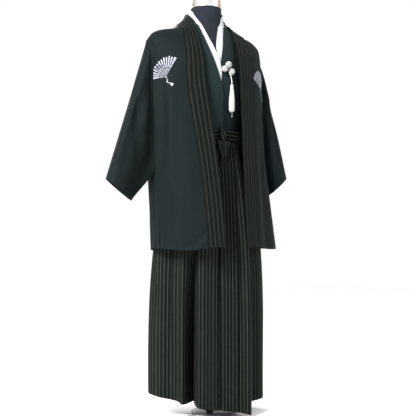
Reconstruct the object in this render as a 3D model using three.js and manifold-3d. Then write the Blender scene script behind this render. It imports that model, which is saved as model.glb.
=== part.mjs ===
// A men's formal kimono set on a limbless dress form: haori coat, kimono, pleated hakama.
// Millimetres. +Z is up, the wearer's front faces -Y and the wearer's right side is -X.
import * as THREE from 'three';
import { mergeVertices } from 'three/addons/utils/BufferGeometryUtils.js';
import Module from 'manifold-3d';

const wasm = await Module();
wasm.setup();

// Driving dimensions
const CLOTH = 1.5;
const HAKAMA_CLOTH = 1.6;
const SEAM = 0.3;
const HAORI_HEM = 630;
const HAORI_TOP = 1472;
const HAORI_LIFT = { up: 5.5, side: 4.5, chest: 12 };
const BAND_AT_RIDGE = 132;
const BAND_OVERLAP = 5;
const BAND_LIFT = { low: 3, high: 4.6 };
const GUSSET_HALF = 33;
const GUSSET_BULGE = 4;
const GUSSET_CLOSES_AT = 0.86;
const ARMHOLE_BOTTOM_ROW = 0.35;
const KIMONO_HEM = 720;
const KIMONO_TOP = 1476;
const COLLAR_AT_RIDGE = 108;
const KIMONO_SIDE_GAP = 0.4;
const HAKAMA_TOP = 1046;
const WAISTBAND = { low: 1036, high: 1078, lift: 0.8, thickness: 3 };
const WAISTBAND_SEGMENTS = 56;
const BASE = { x: 45, y: 10, radius: 88, height: 8, segments: 40 };
const POLE = { x: 16, y: 0, radius: 14, segments: 16 };
const FORM_BOTTOM = 800;
const FORM_TOP = 1557;
const FORM_POWER = 2;
// The form is a little smaller than the section that the clothes take from it
const FORM_INSET = { share: 0.985, below: 1456, drop: 3.5, from: 1380 };
const NECK_CAP = { radius: 57, height: 34, dome: 6, segments: 32 };
const POMPOM = { radius: 12.6, core: 10.8, locks: 26, rootHalf: 2.6, tipHalf: 1 };
const TASSEL = {
  top: 1243, bottom: 1131, head: 6, headHeight: 17, neck: 4.9, bore: 2.05, root: 14,
  rootHalf: 0.4, half: 0.85, uneven: 1.5,
};
const TASSEL_RINGS = [{ strands: 7, root: 3.1, tip: 5.4 }, { strands: 13, root: 4.1, tip: 10.6 }];

// Dress form: half width, front and back depth of the body at each height
const FORM_SECTIONS = [
  { z: 700, half: 118, front: -70, back: 78, mid: 6 },
  { z: 800, half: 124, front: -74, back: 84, mid: 6 },
  { z: 880, half: 131, front: -80, back: 89, mid: 8 },
  { z: 960, half: 138, front: -86, back: 91, mid: 8 },
  { z: 1040, half: 146, front: -90, back: 92, mid: 8 },
  { z: 1130, half: 153, front: -96, back: 98, mid: 8 },
  { z: 1230, half: 170, front: -113, back: 110, mid: 8 },
  { z: 1320, half: 180, front: -106, back: 113, mid: 8 },
  { z: 1380, half: 190, front: -89, back: 105, mid: 8 },
  { z: 1415, half: 194, front: -73, back: 93, mid: 8 },
  { z: 1440, half: 184, front: -63, back: 81, mid: 7 },
  { z: 1450, half: 170, front: -60, back: 77, mid: 6 },
  { z: 1462, half: 138, front: -57, back: 71, mid: 5 },
  { z: 1476, half: 106, front: -55, back: 66, mid: 4 },
  { z: 1488, half: 83, front: -54, back: 63, mid: 3 },
  { z: 1502, half: 66, front: -55, back: 61, mid: 1 },
  { z: 1530, half: 60, front: -58, back: 59, mid: 0 },
  { z: 1557, half: 59, front: -59, back: 59, mid: 0 },
];

// Haori below the shoulder: half widths to the wearer's right and left, front and back depth
const HAORI_SECTIONS = [
  { z: 630, right: 222, left: 346, front: -188, back: 159, mid: 18, power: 1.55 },
  { z: 780, right: 232, left: 312, front: -176, back: 150, mid: 16, power: 1.7 },
  { z: 925, right: 244, left: 280, front: -166, back: 140, mid: 15, power: 1.85 },
  { z: 1050, right: 252, left: 262, front: -156, back: 131, mid: 14, power: 2 },
  { z: 1150, right: 256, left: 258, front: -149, back: 126, mid: 13, power: 2 },
  { z: 1230, right: 257, left: 257, front: -142, back: 130, mid: 13, power: 2 },
  { z: 1320, right: 257, left: 257, front: -132, back: 132, mid: 13, power: 2 },
  { z: 1380, right: 257, left: 257, front: -112, back: 122, mid: 12, power: 2 },
  { z: 1414, right: 255, left: 255, front: -92, back: 108, mid: 11, power: 2 },
  { z: 1433, right: 240, left: 240, front: -80, back: 96, mid: 9, power: 2 },
  { z: 1448, right: 214, left: 214, front: -74, back: 88, mid: 7, power: 2 },
  { z: 1457, right: 178, left: 178, front: -70, back: 84, mid: 6, power: 2 },
];

// Edges of the haori's collar band down each front: x of its free edge and of its seam
const BAND_RIGHT = [
  { z: 630, free: -40, seam: -97 },
  { z: 793, free: -47, seam: -106 },
  { z: 992, free: -65, seam: -126 },
  { z: 1104, free: -77, seam: -141 },
  { z: 1218, free: -91, seam: -154 },
  { z: 1300, free: -94, seam: -156 },
  { z: 1368, free: -92, seam: -151 },
  { z: 1430, free: -90, seam: -143 },
  { z: 1470, free: -88, seam: -134 },
];
const BAND_LEFT = [
  { z: 630, free: 58, seam: 116 },
  { z: 912, free: 56, seam: 117 },
  { z: 1056, free: 57, seam: 118 },
  { z: 1144, free: 56, seam: 119 },
  { z: 1304, free: 61, seam: 126 },
  { z: 1400, free: 73, seam: 132 },
  { z: 1448, free: 76, seam: 134 },
  { z: 1470, free: 80, seam: 134 },
];

// Rows of a body panel, as the share of the height from hem to shoulder ridge
const PANEL_ROWS = [0, 0.09, 0.18, 0.27, 0.35, 0.44, 0.54, 0.64, 0.74, 0.83, 0.9, 0.945, 0.975, 0.992];
const BAND_COLUMNS = [0, 0.34, 0.68, 1];
const BAND_TURN_ROW = 0.996;
const NECK_HALF = 84;
const RIDGE = { low: 1380, high: 1500, halvings: 24 };
const SHOULDER_TIP = 1408;
const UNDERARM = 1300;
const BACK_NECK = [{ f: 0.994, x: 98 }, { f: 0.986, x: 56 }, { f: 0.976, x: SEAM / 2 }];
const PANEL_COLUMNS = [0, 0.13, 0.27, 0.42, 0.57, 0.72, 0.86, 1];

// Fold lines of the hakama, round from the right side seam: angle at the waist, place at the hem,
// and how far a pleat is sunk there and from what share of the height it starts
const HAKAMA_FOLDS = [
  { panel: 'front_right', turn: 180, x: -188, y: 58, z: 76, sinkX: 0, sinkY: 0, starts: 0 },
  { panel: 'front_right', turn: 190, x: -180, y: 34, z: 73, sinkX: 0, sinkY: 0, starts: 0 },
  { panel: 'front_right', turn: 203, x: -158, y: 4, z: 66, sinkX: 8, sinkY: 8, starts: 0.1 },
  { panel: 'front_right', turn: 213, x: -146, y: -20, z: 62, sinkX: 6, sinkY: 4, starts: 0.1 },
  { panel: 'front_right', turn: 221, x: -145, y: -50, z: 56, sinkX: 0, sinkY: 0, starts: 0 },
  { panel: 'front_right', turn: 227, x: -132, y: -62, z: 55, sinkX: 2, sinkY: 14, starts: 0.3 },
  { panel: 'front_right', turn: 232, x: -120, y: -68, z: 54, sinkX: 8, sinkY: 32, starts: 0.36 },
  { panel: 'front_right', turn: 236, x: -108, y: -72, z: 54, sinkX: 28, sinkY: 58, starts: 0.38 },
  { panel: 'front_right', turn: 239, x: -98, y: -76, z: 54, sinkX: 42, sinkY: 78, starts: 0.38 },
  { panel: 'front_left', turn: 242, x: -98, y: -80, z: 52, sinkX: 30, sinkY: 62, starts: 0.38 },
  { panel: 'front_left', turn: 245, x: -98, y: -86, z: 49, sinkX: 10, sinkY: 32, starts: 0.36 },
  { panel: 'front_left', turn: 248, x: -100, y: -94, z: 44, sinkX: 0, sinkY: 4, starts: 0.3 },
  { panel: 'front_left', turn: 252, x: -87, y: -108, z: 40, sinkX: 0, sinkY: 0, starts: 0 },
  { panel: 'front_left', turn: 257, x: -56, y: -111, z: 35, sinkX: 0, sinkY: 0, starts: 0 },
  { panel: 'front_left', turn: 262, x: -30, y: -114, z: 31, sinkX: 0, sinkY: 0, starts: 0 },
  { panel: 'front_left', turn: 266, x: -14, y: -115, z: 29, sinkX: 4, sinkY: 16, starts: 0.05 },
  { panel: 'front_left', turn: 270, x: 2, y: -118, z: 27, sinkX: 0, sinkY: 0, starts: 0 },
  { panel: 'front_left', turn: 276, x: 32, y: -122, z: 22, sinkX: 0, sinkY: 0, starts: 0 },
  { panel: 'front_left', turn: 281, x: 56, y: -130, z: 18, sinkX: 0, sinkY: 2, starts: 0 },
  { panel: 'front_left', turn: 285, x: 68, y: -140, z: 16, sinkX: 2, sinkY: 14, starts: 0.05 },
  { panel: 'front_left', turn: 289, x: 80, y: -153, z: 12, sinkX: 0, sinkY: 0, starts: 0 },
  { panel: 'front_left', turn: 293, x: 94, y: -157, z: 10, sinkX: 0, sinkY: 0, starts: 0 },
  { panel: 'front_left', turn: 297, x: 104, y: -148, z: 10, sinkX: 0, sinkY: 0, starts: 0 },
  { panel: 'front_left', turn: 302, x: 106, y: -122, z: 14, sinkX: 0, sinkY: 0, starts: 0 },
  { panel: 'front_left', turn: 308, x: 124, y: -86, z: 24, sinkX: -6, sinkY: 16, starts: 0.3 },
  { panel: 'front_left', turn: 318, x: 164, y: -62, z: 34, sinkX: -4, sinkY: 16, starts: 0.3 },
  { panel: 'front_left', turn: 332, x: 222, y: -46, z: 42, sinkX: 0, sinkY: 0, starts: 0 },
  { panel: 'front_left', turn: 346, x: 256, y: -26, z: 46, sinkX: 0, sinkY: 0, starts: 0 },
  { panel: 'back_left', turn: 360, x: 264, y: 6, z: 48, sinkX: 0, sinkY: 0, starts: 0 },
  { panel: 'back_left', turn: 377, x: 248, y: 48, z: 54, sinkX: 0, sinkY: 0, starts: 0 },
  { panel: 'back_left', turn: 394, x: 214, y: 84, z: 58, sinkX: 0, sinkY: 0, starts: 0 },
  { panel: 'back_left', turn: 406, x: 176, y: 108, z: 62, sinkX: -4, sinkY: -18, starts: 0.1 },
  { panel: 'back_left', turn: 417, x: 134, y: 126, z: 66, sinkX: 0, sinkY: 0, starts: 0 },
  { panel: 'back_left', turn: 429, x: 92, y: 140, z: 70, sinkX: 0, sinkY: 0, starts: 0 },
  { panel: 'back_left', turn: 438, x: 48, y: 138, z: 74, sinkX: 0, sinkY: 0, starts: 0 },
  { panel: 'back_left', turn: 445, x: 20, y: 134, z: 76, sinkX: 0, sinkY: -16, starts: 0.2 },
  { panel: 'back_right', turn: 450, x: 2, y: 132, z: 78, sinkX: 0, sinkY: -34, starts: 0.3 },
  { panel: 'back_right', turn: 455, x: -18, y: 134, z: 80, sinkX: 0, sinkY: -14, starts: 0.2 },
  { panel: 'back_right', turn: 462, x: -48, y: 140, z: 82, sinkX: 0, sinkY: 0, starts: 0 },
  { panel: 'back_right', turn: 471, x: -88, y: 140, z: 84, sinkX: 0, sinkY: 4, starts: 0.42 },
  { panel: 'back_right', turn: 482, x: -118, y: 134, z: 86, sinkX: 0, sinkY: -12, starts: 0.1 },
  { panel: 'back_right', turn: 494, x: -148, y: 122, z: 87, sinkX: 0, sinkY: 16, starts: 0.42 },
  { panel: 'back_right', turn: 508, x: -177, y: 102, z: 86, sinkX: -5, sinkY: 20, starts: 0.42 },
  { panel: 'back_right', turn: 524, x: -188, y: 86, z: 82, sinkX: -6, sinkY: 10, starts: 0.42 },
];
const WAIST = { half: 155, front: -106, back: 103, mid: 8, power: 2.2 };
const HAKAMA_TUCK = 0.012;
const HAKAMA_LEVELS = [0, HAKAMA_TUCK, 0.06, 0.12, 0.2, 0.3, 0.38, 0.48, 0.6, 0.74, 0.88, 1];
const HAKAMA_FLARE = 4;
const HAKAMA_STEPS = 2;

// Sleeves of the haori: middle of the cuff, half its width, height and depth
const SLEEVES = {
  right: { cuff: [-378, 12, 843], halfAcross: 54, halfUp: 38, deep: [46, 78] },
  left: { cuff: [359, 10, 880], halfAcross: 47, halfUp: 37, deep: [44, 78] },
};
const SLEEVE_RINGS = [0, 0.08, 0.2, 0.34, 0.5, 0.66, 0.82, 1];
const SLEEVE_FOOT = 7;
// Folds that run down a sleeve: how deep they are in its middle and how many there are round it
const SLEEVE_FOLD = { depth: 6, waves: 5 };

// Free edges of the kimono's collar, down each front
const KIMONO_COLLAR = {
  right: [
    { z: 1050, free: 14, seam: -44 },
    { z: 1109, free: 2, seam: -56 },
    { z: 1174, free: -3, seam: -60 },
    { z: 1218, free: -8, seam: -64 },
    { z: 1255, free: -20, seam: -74 },
    { z: 1376, free: -54, seam: -100 },
    { z: 1440, free: -66, seam: -108 },
    { z: 1478, free: -73, seam: -110 },
  ],
  left: [
    { z: 1050, free: -52, seam: 4 },
    { z: 1174, free: -38, seam: 20 },
    { z: 1255, free: -24, seam: 36 },
    { z: 1317, free: -10, seam: 50 },
    { z: 1385, free: 17, seam: 74 },
    { z: 1440, free: 36, seam: 90 },
    { z: 1478, free: 46, seam: 106 },
  ],
};
const KIMONO_ROWS = [0, 0.16, 0.32, 0.44, 0.5, 0.56, 0.63, 0.7, 0.76, 0.82, 0.88, 0.93, 0.965, 0.985];
const KIMONO_COLUMNS = [0, 0.22, 0.43, 0.61, 0.76, 0.875, 0.955, 1];
const KIMONO_LIFT = { up: 1.7, side: 4, chest: 5 };
const OVERLAP_LIFT = 6.2;
const OVERLAP_FADE = 0.12;
const KIMONO_BACK_NECK = [{ f: 0.994, x: 74 }, { f: 0.986, x: 36 }, { f: 0.976, x: SEAM / 2 }];
const COLLAR_COLUMNS = [0, 0.5, 1];
const COLLAR_LIFT = 1;
const HALF_COLLAR_LIFT = -3.5;
const COLLAR_FOOT_ROW = 0.44;
const HALF_COLLAR_FOOT = { right: 0.7, left: 0.76 };
// Surface on which the collars stand round the neck, above the shoulders
const COLLAR_SECTIONS = [
  { z: 1462, half: 144, front: -63, back: 78, mid: 5 },
  { z: 1476, half: 113, front: -61, back: 76, mid: 4 },
  { z: 1488, half: 89, front: -60, back: 76, mid: 3 },
  { z: 1502, half: 77, front: -60.5, back: 78, mid: 1.5 },
  { z: 1520, half: 70, front: -62.5, back: 80, mid: 0 },
  { z: 1541, half: 67, front: -63.5, back: 81, mid: 0 },
  { z: 1563, half: 65, front: -63.5, back: 78, mid: 0 },
];
const COLLAR_POWER = 2;
// Stand of each collar round the neck: angle behind the shoulder line and height of its two edges
const COLLAR_NECK = {
  right: [
    { lowTurn: -36, low: 1470, highTurn: -47, high: 1478 },
    { lowTurn: -24, low: 1475, highTurn: -34, high: 1490 },
    { lowTurn: -10, low: 1478, highTurn: -18, high: 1505 },
    { lowTurn: 8, low: 1481, highTurn: 9, high: 1525 },
  ],
  left: [
    { lowTurn: -44, low: 1469, highTurn: -64, high: 1478 },
    { lowTurn: -28, low: 1474, highTurn: -52, high: 1490 },
    { lowTurn: -12, low: 1478, highTurn: -30, high: 1507 },
    { lowTurn: 6, low: 1481, highTurn: 0, high: 1525 },
  ],
  back: [
    { lowTurn: 34, low: 1487, highTurn: 34, high: 1540 },
    { lowTurn: 62, low: 1485, highTurn: 62, high: 1546 },
    { lowTurn: 90, low: 1482, highTurn: 90, high: 1548 },
  ],
};
// White half collar inside it, which shows a finger's width past its free edge
const HALF_COLLAR_EDGES = {
  right: [
    { z: 1250, free: -14, seam: -22 },
    { z: 1310, free: -12, seam: -44 },
    { z: 1376, free: -28, seam: -62 },
    { z: 1440, free: -46, seam: -76 },
    { z: 1468, free: -56, seam: -84 },
  ],
  left: [
    { z: 1300, free: -22, seam: 6 },
    { z: 1350, free: -16, seam: 18 },
    { z: 1385, free: -11, seam: 26 },
    { z: 1440, free: 11, seam: 46 },
    { z: 1468, free: 20, seam: 58 },
  ],
};
const HALF_COLLAR_NECK = {
  right: [
    { lowTurn: -36, low: 1478, highTurn: -48, high: 1490 },
    { lowTurn: -18, low: 1492, highTurn: -24, high: 1513 },
    { lowTurn: 2, low: 1509, highTurn: 0, high: 1538 },
  ],
  left: [
    { lowTurn: -54, low: 1478, highTurn: -71, high: 1490 },
    { lowTurn: -34, low: 1490, highTurn: -58, high: 1515 },
    { lowTurn: -14, low: 1506, highTurn: -34, high: 1535 },
    { lowTurn: 6, low: 1516, highTurn: 0, high: 1548 },
  ],
  back: [
    { lowTurn: 30, low: 1524, highTurn: 30, high: 1556 },
    { lowTurn: 60, low: 1530, highTurn: 60, high: 1561 },
    { lowTurn: 90, low: 1532, highTurn: 90, high: 1563 },
  ],
};
// Free edge of the haori's collar band round the neck: one row before the shoulder, the rest behind
const BAND_NECK_LIFT = 5;
const BAND_NECK = [
  { turn: -24, z: 1492, dip: 0 },
  { turn: 2, z: 1515, dip: 0 },
  { turn: 34, z: 1536, dip: -4 },
  { turn: 62, z: 1542, dip: -4 },
  { turn: 90, z: 1544, dip: -4 },
];
const BACK_BOARD = {
  lift: 5, thickness: 4,
  rows: [{ z: 1079, half: 112 }, { z: 1104, half: 104 }, { z: 1128, half: 94 }],
};
const KNOT = {
  x: -4, z: 1057, width: 26, cloth: 3,
  profile: [[0, -27], [-10, -24], [-14, -12], [-15, 4], [-13, 18], [-8, 26], [0, 28]],
};
const TIE_ENDS = [
  { name: 'hakama_tie_end_right', rows: [
    { z: 1033, from: -34, to: -6, y: -121.5 },
    { z: 1012, from: -30, to: -5, y: -121.5 },
    { z: 990, from: -22, to: -5, y: -122.5 },
    { z: 966, from: -14, to: -6, y: -123.5 },
  ] },
  { name: 'hakama_tie_end_left', rows: [
    { z: 1033, from: -4, to: 25, y: -121.5 },
    { z: 1012, from: -4, to: 20, y: -121.5 },
    { z: 990, from: -4, to: 12, y: -122.5 },
    { z: 970, from: -5, to: 3, y: -123.5 },
  ] },
];
const TIE_COLUMNS = [0, 0.33, 0.67, 1];
const POMPOMS = [
  { name: 'upper', x: 14, z: 1322 },
  { name: 'right', x: -6, z: 1304 },
  { name: 'left', x: 26, z: 1296 },
];
const CORD_RADIUS = 1.7;
// The cord runs down from the pompoms and on through the head of the tassel
const CORD_ROUTE = [
  [12, -134, 1296], [12, -142, 1283], [13, -147, 1268], [14, -149, 1254], [14, -149, 1243.4],
  [14, -149, 1208], [14, -149, 1172],
];
const CORD_SIDES = 8;

// Looks of each finish
const BLACK_SILK = { color: 0x2a3338, roughness: 0.86, metalness: 0 };
const STRIPED_SILK = { color: 0x333a34, roughness: 0.84, metalness: 0 };
const WHITE_SILK = { color: 0xd9dde0, roughness: 0.8, metalness: 0 };
const NAVY_JERSEY = { color: 0x30363f, roughness: 0.95, metalness: 0 };
const DARK_METAL = { color: 0x2b2d30, roughness: 0.4, metalness: 1 };
const POLISHED_METAL = { color: 0xc9ccd0, roughness: 0.25, metalness: 1 };

// Value of a column between the rows of a table, eased so that the outline has no corners
function tableValue(rows, key, column, at) {
  if (at <= rows[0][key]) return rows[0][column];
  for (let i = 1; i < rows.length; i += 1) {
    if (at > rows[i][key]) continue;
    const span = rows[i][key] - rows[i - 1][key];
    const share = (at - rows[i - 1][key]) / span;
    const before = rows[Math.max(i - 2, 0)];
    const after = rows[Math.min(i + 1, rows.length - 1)];
    const slopeIn = (rows[i][column] - before[column]) / (rows[i][key] - before[key]);
    const slopeOut = (after[column] - rows[i - 1][column]) / (after[key] - rows[i - 1][key]);
    const s2 = share * share;
    const s3 = s2 * share;
    return (2 * s3 - 3 * s2 + 1) * rows[i - 1][column] + (s3 - 2 * s2 + share) * span * slopeIn
      + (3 * s2 - 2 * s3) * rows[i][column] + (s3 - s2) * span * slopeOut;
  }
  return rows[rows.length - 1][column];
}

const lerp = (a, b, t) => a + (b - a) * t;
const point = (x, y, z) => new THREE.Vector3(x, y, z);

// Depth of an oval section at x, as a share of its full depth
function ovalShare(x, half, power) {
  const across = Math.min(Math.abs(x) / half, 1);
  return (1 - across ** power) ** (1 / power);
}

function formSection(z) {
  const section = { power: FORM_POWER };
  for (const column of ['half', 'front', 'back', 'mid']) {
    section[column] = tableValue(FORM_SECTIONS, 'z', column, z);
  }
  return { ...section, right: section.half, left: section.half };
}

function kimonoSection(z) {
  const section = formSection(z - KIMONO_LIFT.up);
  const half = section.half + KIMONO_LIFT.side;
  return {
    ...section, right: half, left: half,
    front: section.front - KIMONO_LIFT.chest, back: section.back + KIMONO_LIFT.chest,
  };
}

function haoriSection(z) {
  const top = HAORI_SECTIONS[HAORI_SECTIONS.length - 1];
  if (z > top.z) {
    const section = formSection(z - HAORI_LIFT.up);
    const half = section.half + HAORI_LIFT.side;
    const side = Math.min(half, top.right);
    return {
      power: 2, right: side, left: side, mid: section.mid,
      front: section.front - HAORI_LIFT.chest, back: section.back + HAORI_LIFT.chest,
    };
  }
  const section = {};
  for (const column of ['right', 'left', 'front', 'back', 'mid', 'power']) {
    section[column] = tableValue(HAORI_SECTIONS, 'z', column, z);
  }
  return section;
}

// Height of the shoulder ridge of a garment at x, found where its section is just that wide
function ridgeHeight(sectionAt, x) {
  let below = RIDGE.low;
  let above = RIDGE.high;
  for (let step = 0; step < RIDGE.halvings; step += 1) {
    const z = (below + above) / 2;
    const section = sectionAt(z);
    if ((x < 0 ? section.right : section.left) > Math.abs(x)) below = z;
    else above = z;
  }
  return (below + above) / 2;
}

// Point on the front (-1) or back (+1) of a garment
function surfacePoint(sectionAt, x, z, facing, lift = 0) {
  const section = sectionAt(z);
  const half = x < 0 ? section.right : section.left;
  const power = facing < 0 && x > 0 ? section.power : 2;
  const share = ovalShare(x, half, power);
  const depth = facing < 0 ? section.front - lift : section.back + lift;
  return point(x, lerp(section.mid, depth, share), z);
}

// Unit normals of a grid of points
function gridNormals(grid, wrap) {
  const rows = grid.length;
  const columns = grid[0].length;
  return grid.map((row, i) => row.map((_, j) => {
    const up = grid[Math.min(i + 1, rows - 1)][j].clone().sub(grid[Math.max(i - 1, 0)][j]);
    const next = wrap ? (j + 1) % columns : Math.min(j + 1, columns - 1);
    const last = wrap ? (j + columns - 1) % columns : Math.max(j - 1, 0);
    const across = grid[i][next].clone().sub(grid[i][last]);
    return across.cross(up).normalize();
  }));
}

const movedOut = (grid, normals, distance) => grid.map((row, i) => row.map(
  (p, j) => p.clone().addScaledVector(normals[i][j], distance)));

// Cut a strip of half a seam's gap off the first or last column of a grid
function trimColumn(grid, last, gap = SEAM / 2) {
  for (const row of grid) {
    const edge = last ? row.length - 1 : 0;
    const inside = last ? edge - 1 : 1;
    const way = row[inside].clone().sub(row[edge]).normalize();
    row[edge].addScaledVector(way, gap);
  }
}

// Closed wall between an outer and an inner grid of points
function wallGeometry(outer, inner, wrap = false) {
  const rows = outer.length;
  const columns = outer[0].length;
  const positions = [];
  for (const grid of [outer, inner]) {
    for (const row of grid) for (const p of row) positions.push(p.x, p.y, p.z);
  }
  const index = [];
  const at = (layer, i, j) => layer * rows * columns + i * columns + (j % columns);
  const quad = (a, b, c, d) => index.push(a, b, c, a, c, d);
  const lastColumn = wrap ? columns : columns - 1;
  for (let i = 0; i < rows - 1; i += 1) {
    for (let j = 0; j < lastColumn; j += 1) {
      quad(at(0, i, j), at(0, i, j + 1), at(0, i + 1, j + 1), at(0, i + 1, j));
      quad(at(1, i, j), at(1, i + 1, j), at(1, i + 1, j + 1), at(1, i, j + 1));
    }
    if (!wrap) {
      quad(at(0, i, 0), at(0, i + 1, 0), at(1, i + 1, 0), at(1, i, 0));
      quad(at(0, i, lastColumn), at(1, i, lastColumn), at(1, i + 1, lastColumn), at(0, i + 1, lastColumn));
    }
  }
  for (let j = 0; j < lastColumn; j += 1) {
    quad(at(0, 0, j), at(1, 0, j), at(1, 0, j + 1), at(0, 0, j + 1));
    quad(at(0, rows - 1, j), at(0, rows - 1, j + 1), at(1, rows - 1, j + 1), at(1, rows - 1, j));
  }
  return facingOut(positions, index);
}

// Geometry of a closed surface, turned so that its faces point out
function facingOut(positions, index) {
  let volume = 0;
  for (let k = 0; k < index.length; k += 3) {
    const [a, b, c] = [0, 1, 2].map((n) => point(
      positions[3 * index[k + n]], positions[3 * index[k + n] + 1], positions[3 * index[k + n] + 2]));
    volume += a.dot(b.cross(c));
  }
  if (volume < 0) index.reverse();
  const geometry = new THREE.BufferGeometry();
  geometry.setAttribute('position', new THREE.Float32BufferAttribute(positions, 3));
  geometry.setIndex(index);
  geometry.computeVertexNormals();
  return geometry;
}

// Closed solid from a stack of rings, with flat ends
function loftGeometry(rings) {
  const columns = rings[0].length;
  const positions = [];
  for (const ring of rings) for (const p of ring) positions.push(p.x, p.y, p.z);
  const index = [];
  for (let i = 0; i < rings.length - 1; i += 1) {
    for (let j = 0; j < columns; j += 1) {
      const a = i * columns + j;
      const b = i * columns + ((j + 1) % columns);
      index.push(a, b, b + columns, a, b + columns, a + columns);
    }
  }
  const last = (rings.length - 1) * columns;
  for (let j = 1; j < columns - 1; j += 1) {
    index.push(0, j + 1, j);
    index.push(last, last + j, last + j + 1);
  }
  return facingOut(positions, index);
}

const model = new THREE.Group();

function addPiece(name, geometry, finish) {
  const mesh = new THREE.Mesh(geometry, new THREE.MeshStandardMaterial(finish));
  mesh.name = name;
  model.add(mesh);
  return mesh;
}

// Dress form: body with its neck, metal neck cap, pole and round base
const FORM_RINGS = [
  FORM_BOTTOM, 840, 880, 920, 960, 1000, 1040, 1085, 1130, 1180, 1230, 1275, 1320, 1352, 1380, 1400,
  1415, 1430, 1440, 1446, 1450, 1456, 1462, 1469, 1476, 1482, 1488, 1495, 1502, 1515, 1530, 1544, FORM_TOP,
];
const FORM_SEGMENTS = 28;

function formRing(z, shrink = z < FORM_INSET.below ? FORM_INSET.share : 1) {
  const section = formSection(z < FORM_INSET.from ? z : z + FORM_INSET.drop);
  return Array.from({ length: FORM_SEGMENTS }, (_, k) => {
    const turn = (2 * Math.PI * k) / FORM_SEGMENTS;
    const [c, s] = [Math.cos(turn), Math.sin(turn)];
    const round = 2 / section.power;
    const depth = s < 0 ? section.mid - section.front : section.back - section.mid;
    return point(
      shrink * section.half * Math.sign(c) * Math.abs(c) ** round,
      section.mid + shrink * depth * Math.sign(s) * Math.abs(s) ** round,
      z,
    );
  });
}

function latheAt(profile, segments, [x, y, z]) {
  const geometry = new THREE.LatheGeometry(profile.map(([r, h]) => new THREE.Vector2(r, h)), segments);
  geometry.rotateX(Math.PI / 2);
  geometry.translate(x, y, z);
  return geometry;
}

function addDressForm() {
  const rings = [formRing(FORM_BOTTOM - 12, 0.9), ...FORM_RINGS.map((z) => formRing(z))];
  addPiece('form_body', loftGeometry(rings), NAVY_JERSEY);
  const { radius, height, dome, segments } = NECK_CAP;
  const cap = [[0, 0], [radius - 1, 0], [radius, 1], [radius, height - 3], [radius - 3, height],
    [radius * 0.6, height + dome * 0.7], [0, height + dome]];
  addPiece('form_neck_cap', latheAt(cap, segments, [0, 0, FORM_TOP + SEAM]), POLISHED_METAL);
  const poleTop = FORM_BOTTOM - 12 - SEAM;
  const poleLow = BASE.height + SEAM;
  const pole = [[0, poleLow], [POLE.radius, poleLow], [POLE.radius, poleTop], [0, poleTop]];
  addPiece('form_pole', latheAt(pole, POLE.segments, [POLE.x, POLE.y, 0]), DARK_METAL);
  const plate = [[0, 0], [BASE.radius, 0], [BASE.radius, BASE.height - 2], [BASE.radius - 2, BASE.height],
    [0, BASE.height]];
  addPiece('form_base', latheAt(plate, BASE.segments, [BASE.x, BASE.y, 0]), DARK_METAL);
}

// Point on the surface on which the collars stand, at an angle behind the shoulder line
function collarPoint(side, degrees, z, lift = 0) {
  const section = { power: COLLAR_POWER };
  for (const column of ['half', 'front', 'back', 'mid']) {
    section[column] = tableValue(COLLAR_SECTIONS, 'z', column, z);
  }
  const at = ovalPoint(section, THREE.MathUtils.degToRad(degrees), lift);
  return point(side * at.x, at.y, z);
}

// Distance of a panel's side edge from the middle, where front and back lie an opening apart
function sideEdge(sectionAt, z, side, facing, opening) {
  const section = sectionAt(z);
  const half = side < 0 ? section.right : section.left;
  const depth = facing > 0 ? section.back - section.mid : section.mid - section.front;
  const power = facing < 0 && side > 0 ? section.power : 2;
  return half * (1 - Math.min(opening / depth, 1) ** power) ** (1 / power);
}

// Stations of a body panel: up the front, over the shoulder, down the back
function panelStations(rows, backTop) {
  return [
    ...rows.map((f) => ({ f, facing: -1 })),
    { f: 1, facing: 0 },
    ...backTop.map(({ f, x }) => ({ f, facing: 1, neck: x })),
    ...rows.slice().reverse().slice(2).map((f) => ({ f, facing: 1, neck: SEAM / 2 })),
  ];
}

// Grid of a body panel cut in one length from the front hem over the shoulder to the back hem
function bodyPanel({
  side, sectionAt, hem, top, stations, columns, frontEdge, ridgeNeck, opening, lift = () => 0,
}) {
  const tip = sectionAt(SHOULDER_TIP);
  const outermost = (side < 0 ? tip.right : tip.left) - 1;
  return stations.map(({ f, facing, neck }) => {
    const height = lerp(hem, top, f);
    const inner = facing < 0 ? frontEdge(height) : side * (facing === 0 ? ridgeNeck : neck);
    const edge = sideEdge(sectionAt, Math.min(height, SHOULDER_TIP), side, facing, opening(f));
    const reach = height > UNDERARM ? Math.min(edge, outermost) : edge;
    const outer = side * (facing === 0 ? outermost : reach);
    return columns.map((s) => {
      const x = lerp(inner, outer, s);
      const ridge = ridgeHeight(sectionAt, side * Math.max(side * x, NECK_HALF));
      const z = lerp(hem, ridge, f);
      if (facing === 0) return point(x, sectionAt(z).mid, z);
      return surfacePoint(sectionAt, x, z, facing, lift(f, facing));
    });
  });
}

// Haori body: two panels, with a gusset in each side below the sleeve
const haoriStations = panelStations(PANEL_ROWS, BACK_NECK);

// Half the distance between front and back edge at the side, which closes towards the shoulder
function haoriOpening(f) {
  const closed = Math.max((f - GUSSET_CLOSES_AT) / (1 - GUSSET_CLOSES_AT), 0);
  return GUSSET_HALF * Math.sqrt(Math.max(1 - closed ** 2, 0));
}

function bandEdge(side, column, z) {
  return tableValue(side < 0 ? BAND_RIGHT : BAND_LEFT, 'z', column, z);
}

function haoriPanel(side) {
  return bodyPanel({
    side, sectionAt: haoriSection, hem: HAORI_HEM, top: HAORI_TOP, stations: haoriStations,
    columns: PANEL_COLUMNS, frontEdge: (z) => bandEdge(side, 'seam', z), ridgeNeck: BAND_AT_RIDGE,
    opening: haoriOpening,
  });
}

// Normals along the armhole and the gusset seam, alike on both sides of the seam
function seamNormal(side, atFront, armhole) {
  const towards = atFront ? -1 : 1;
  return armhole ? point(0, towards, 0) : point(side * 0.6, towards * 0.8, 0);
}

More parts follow.
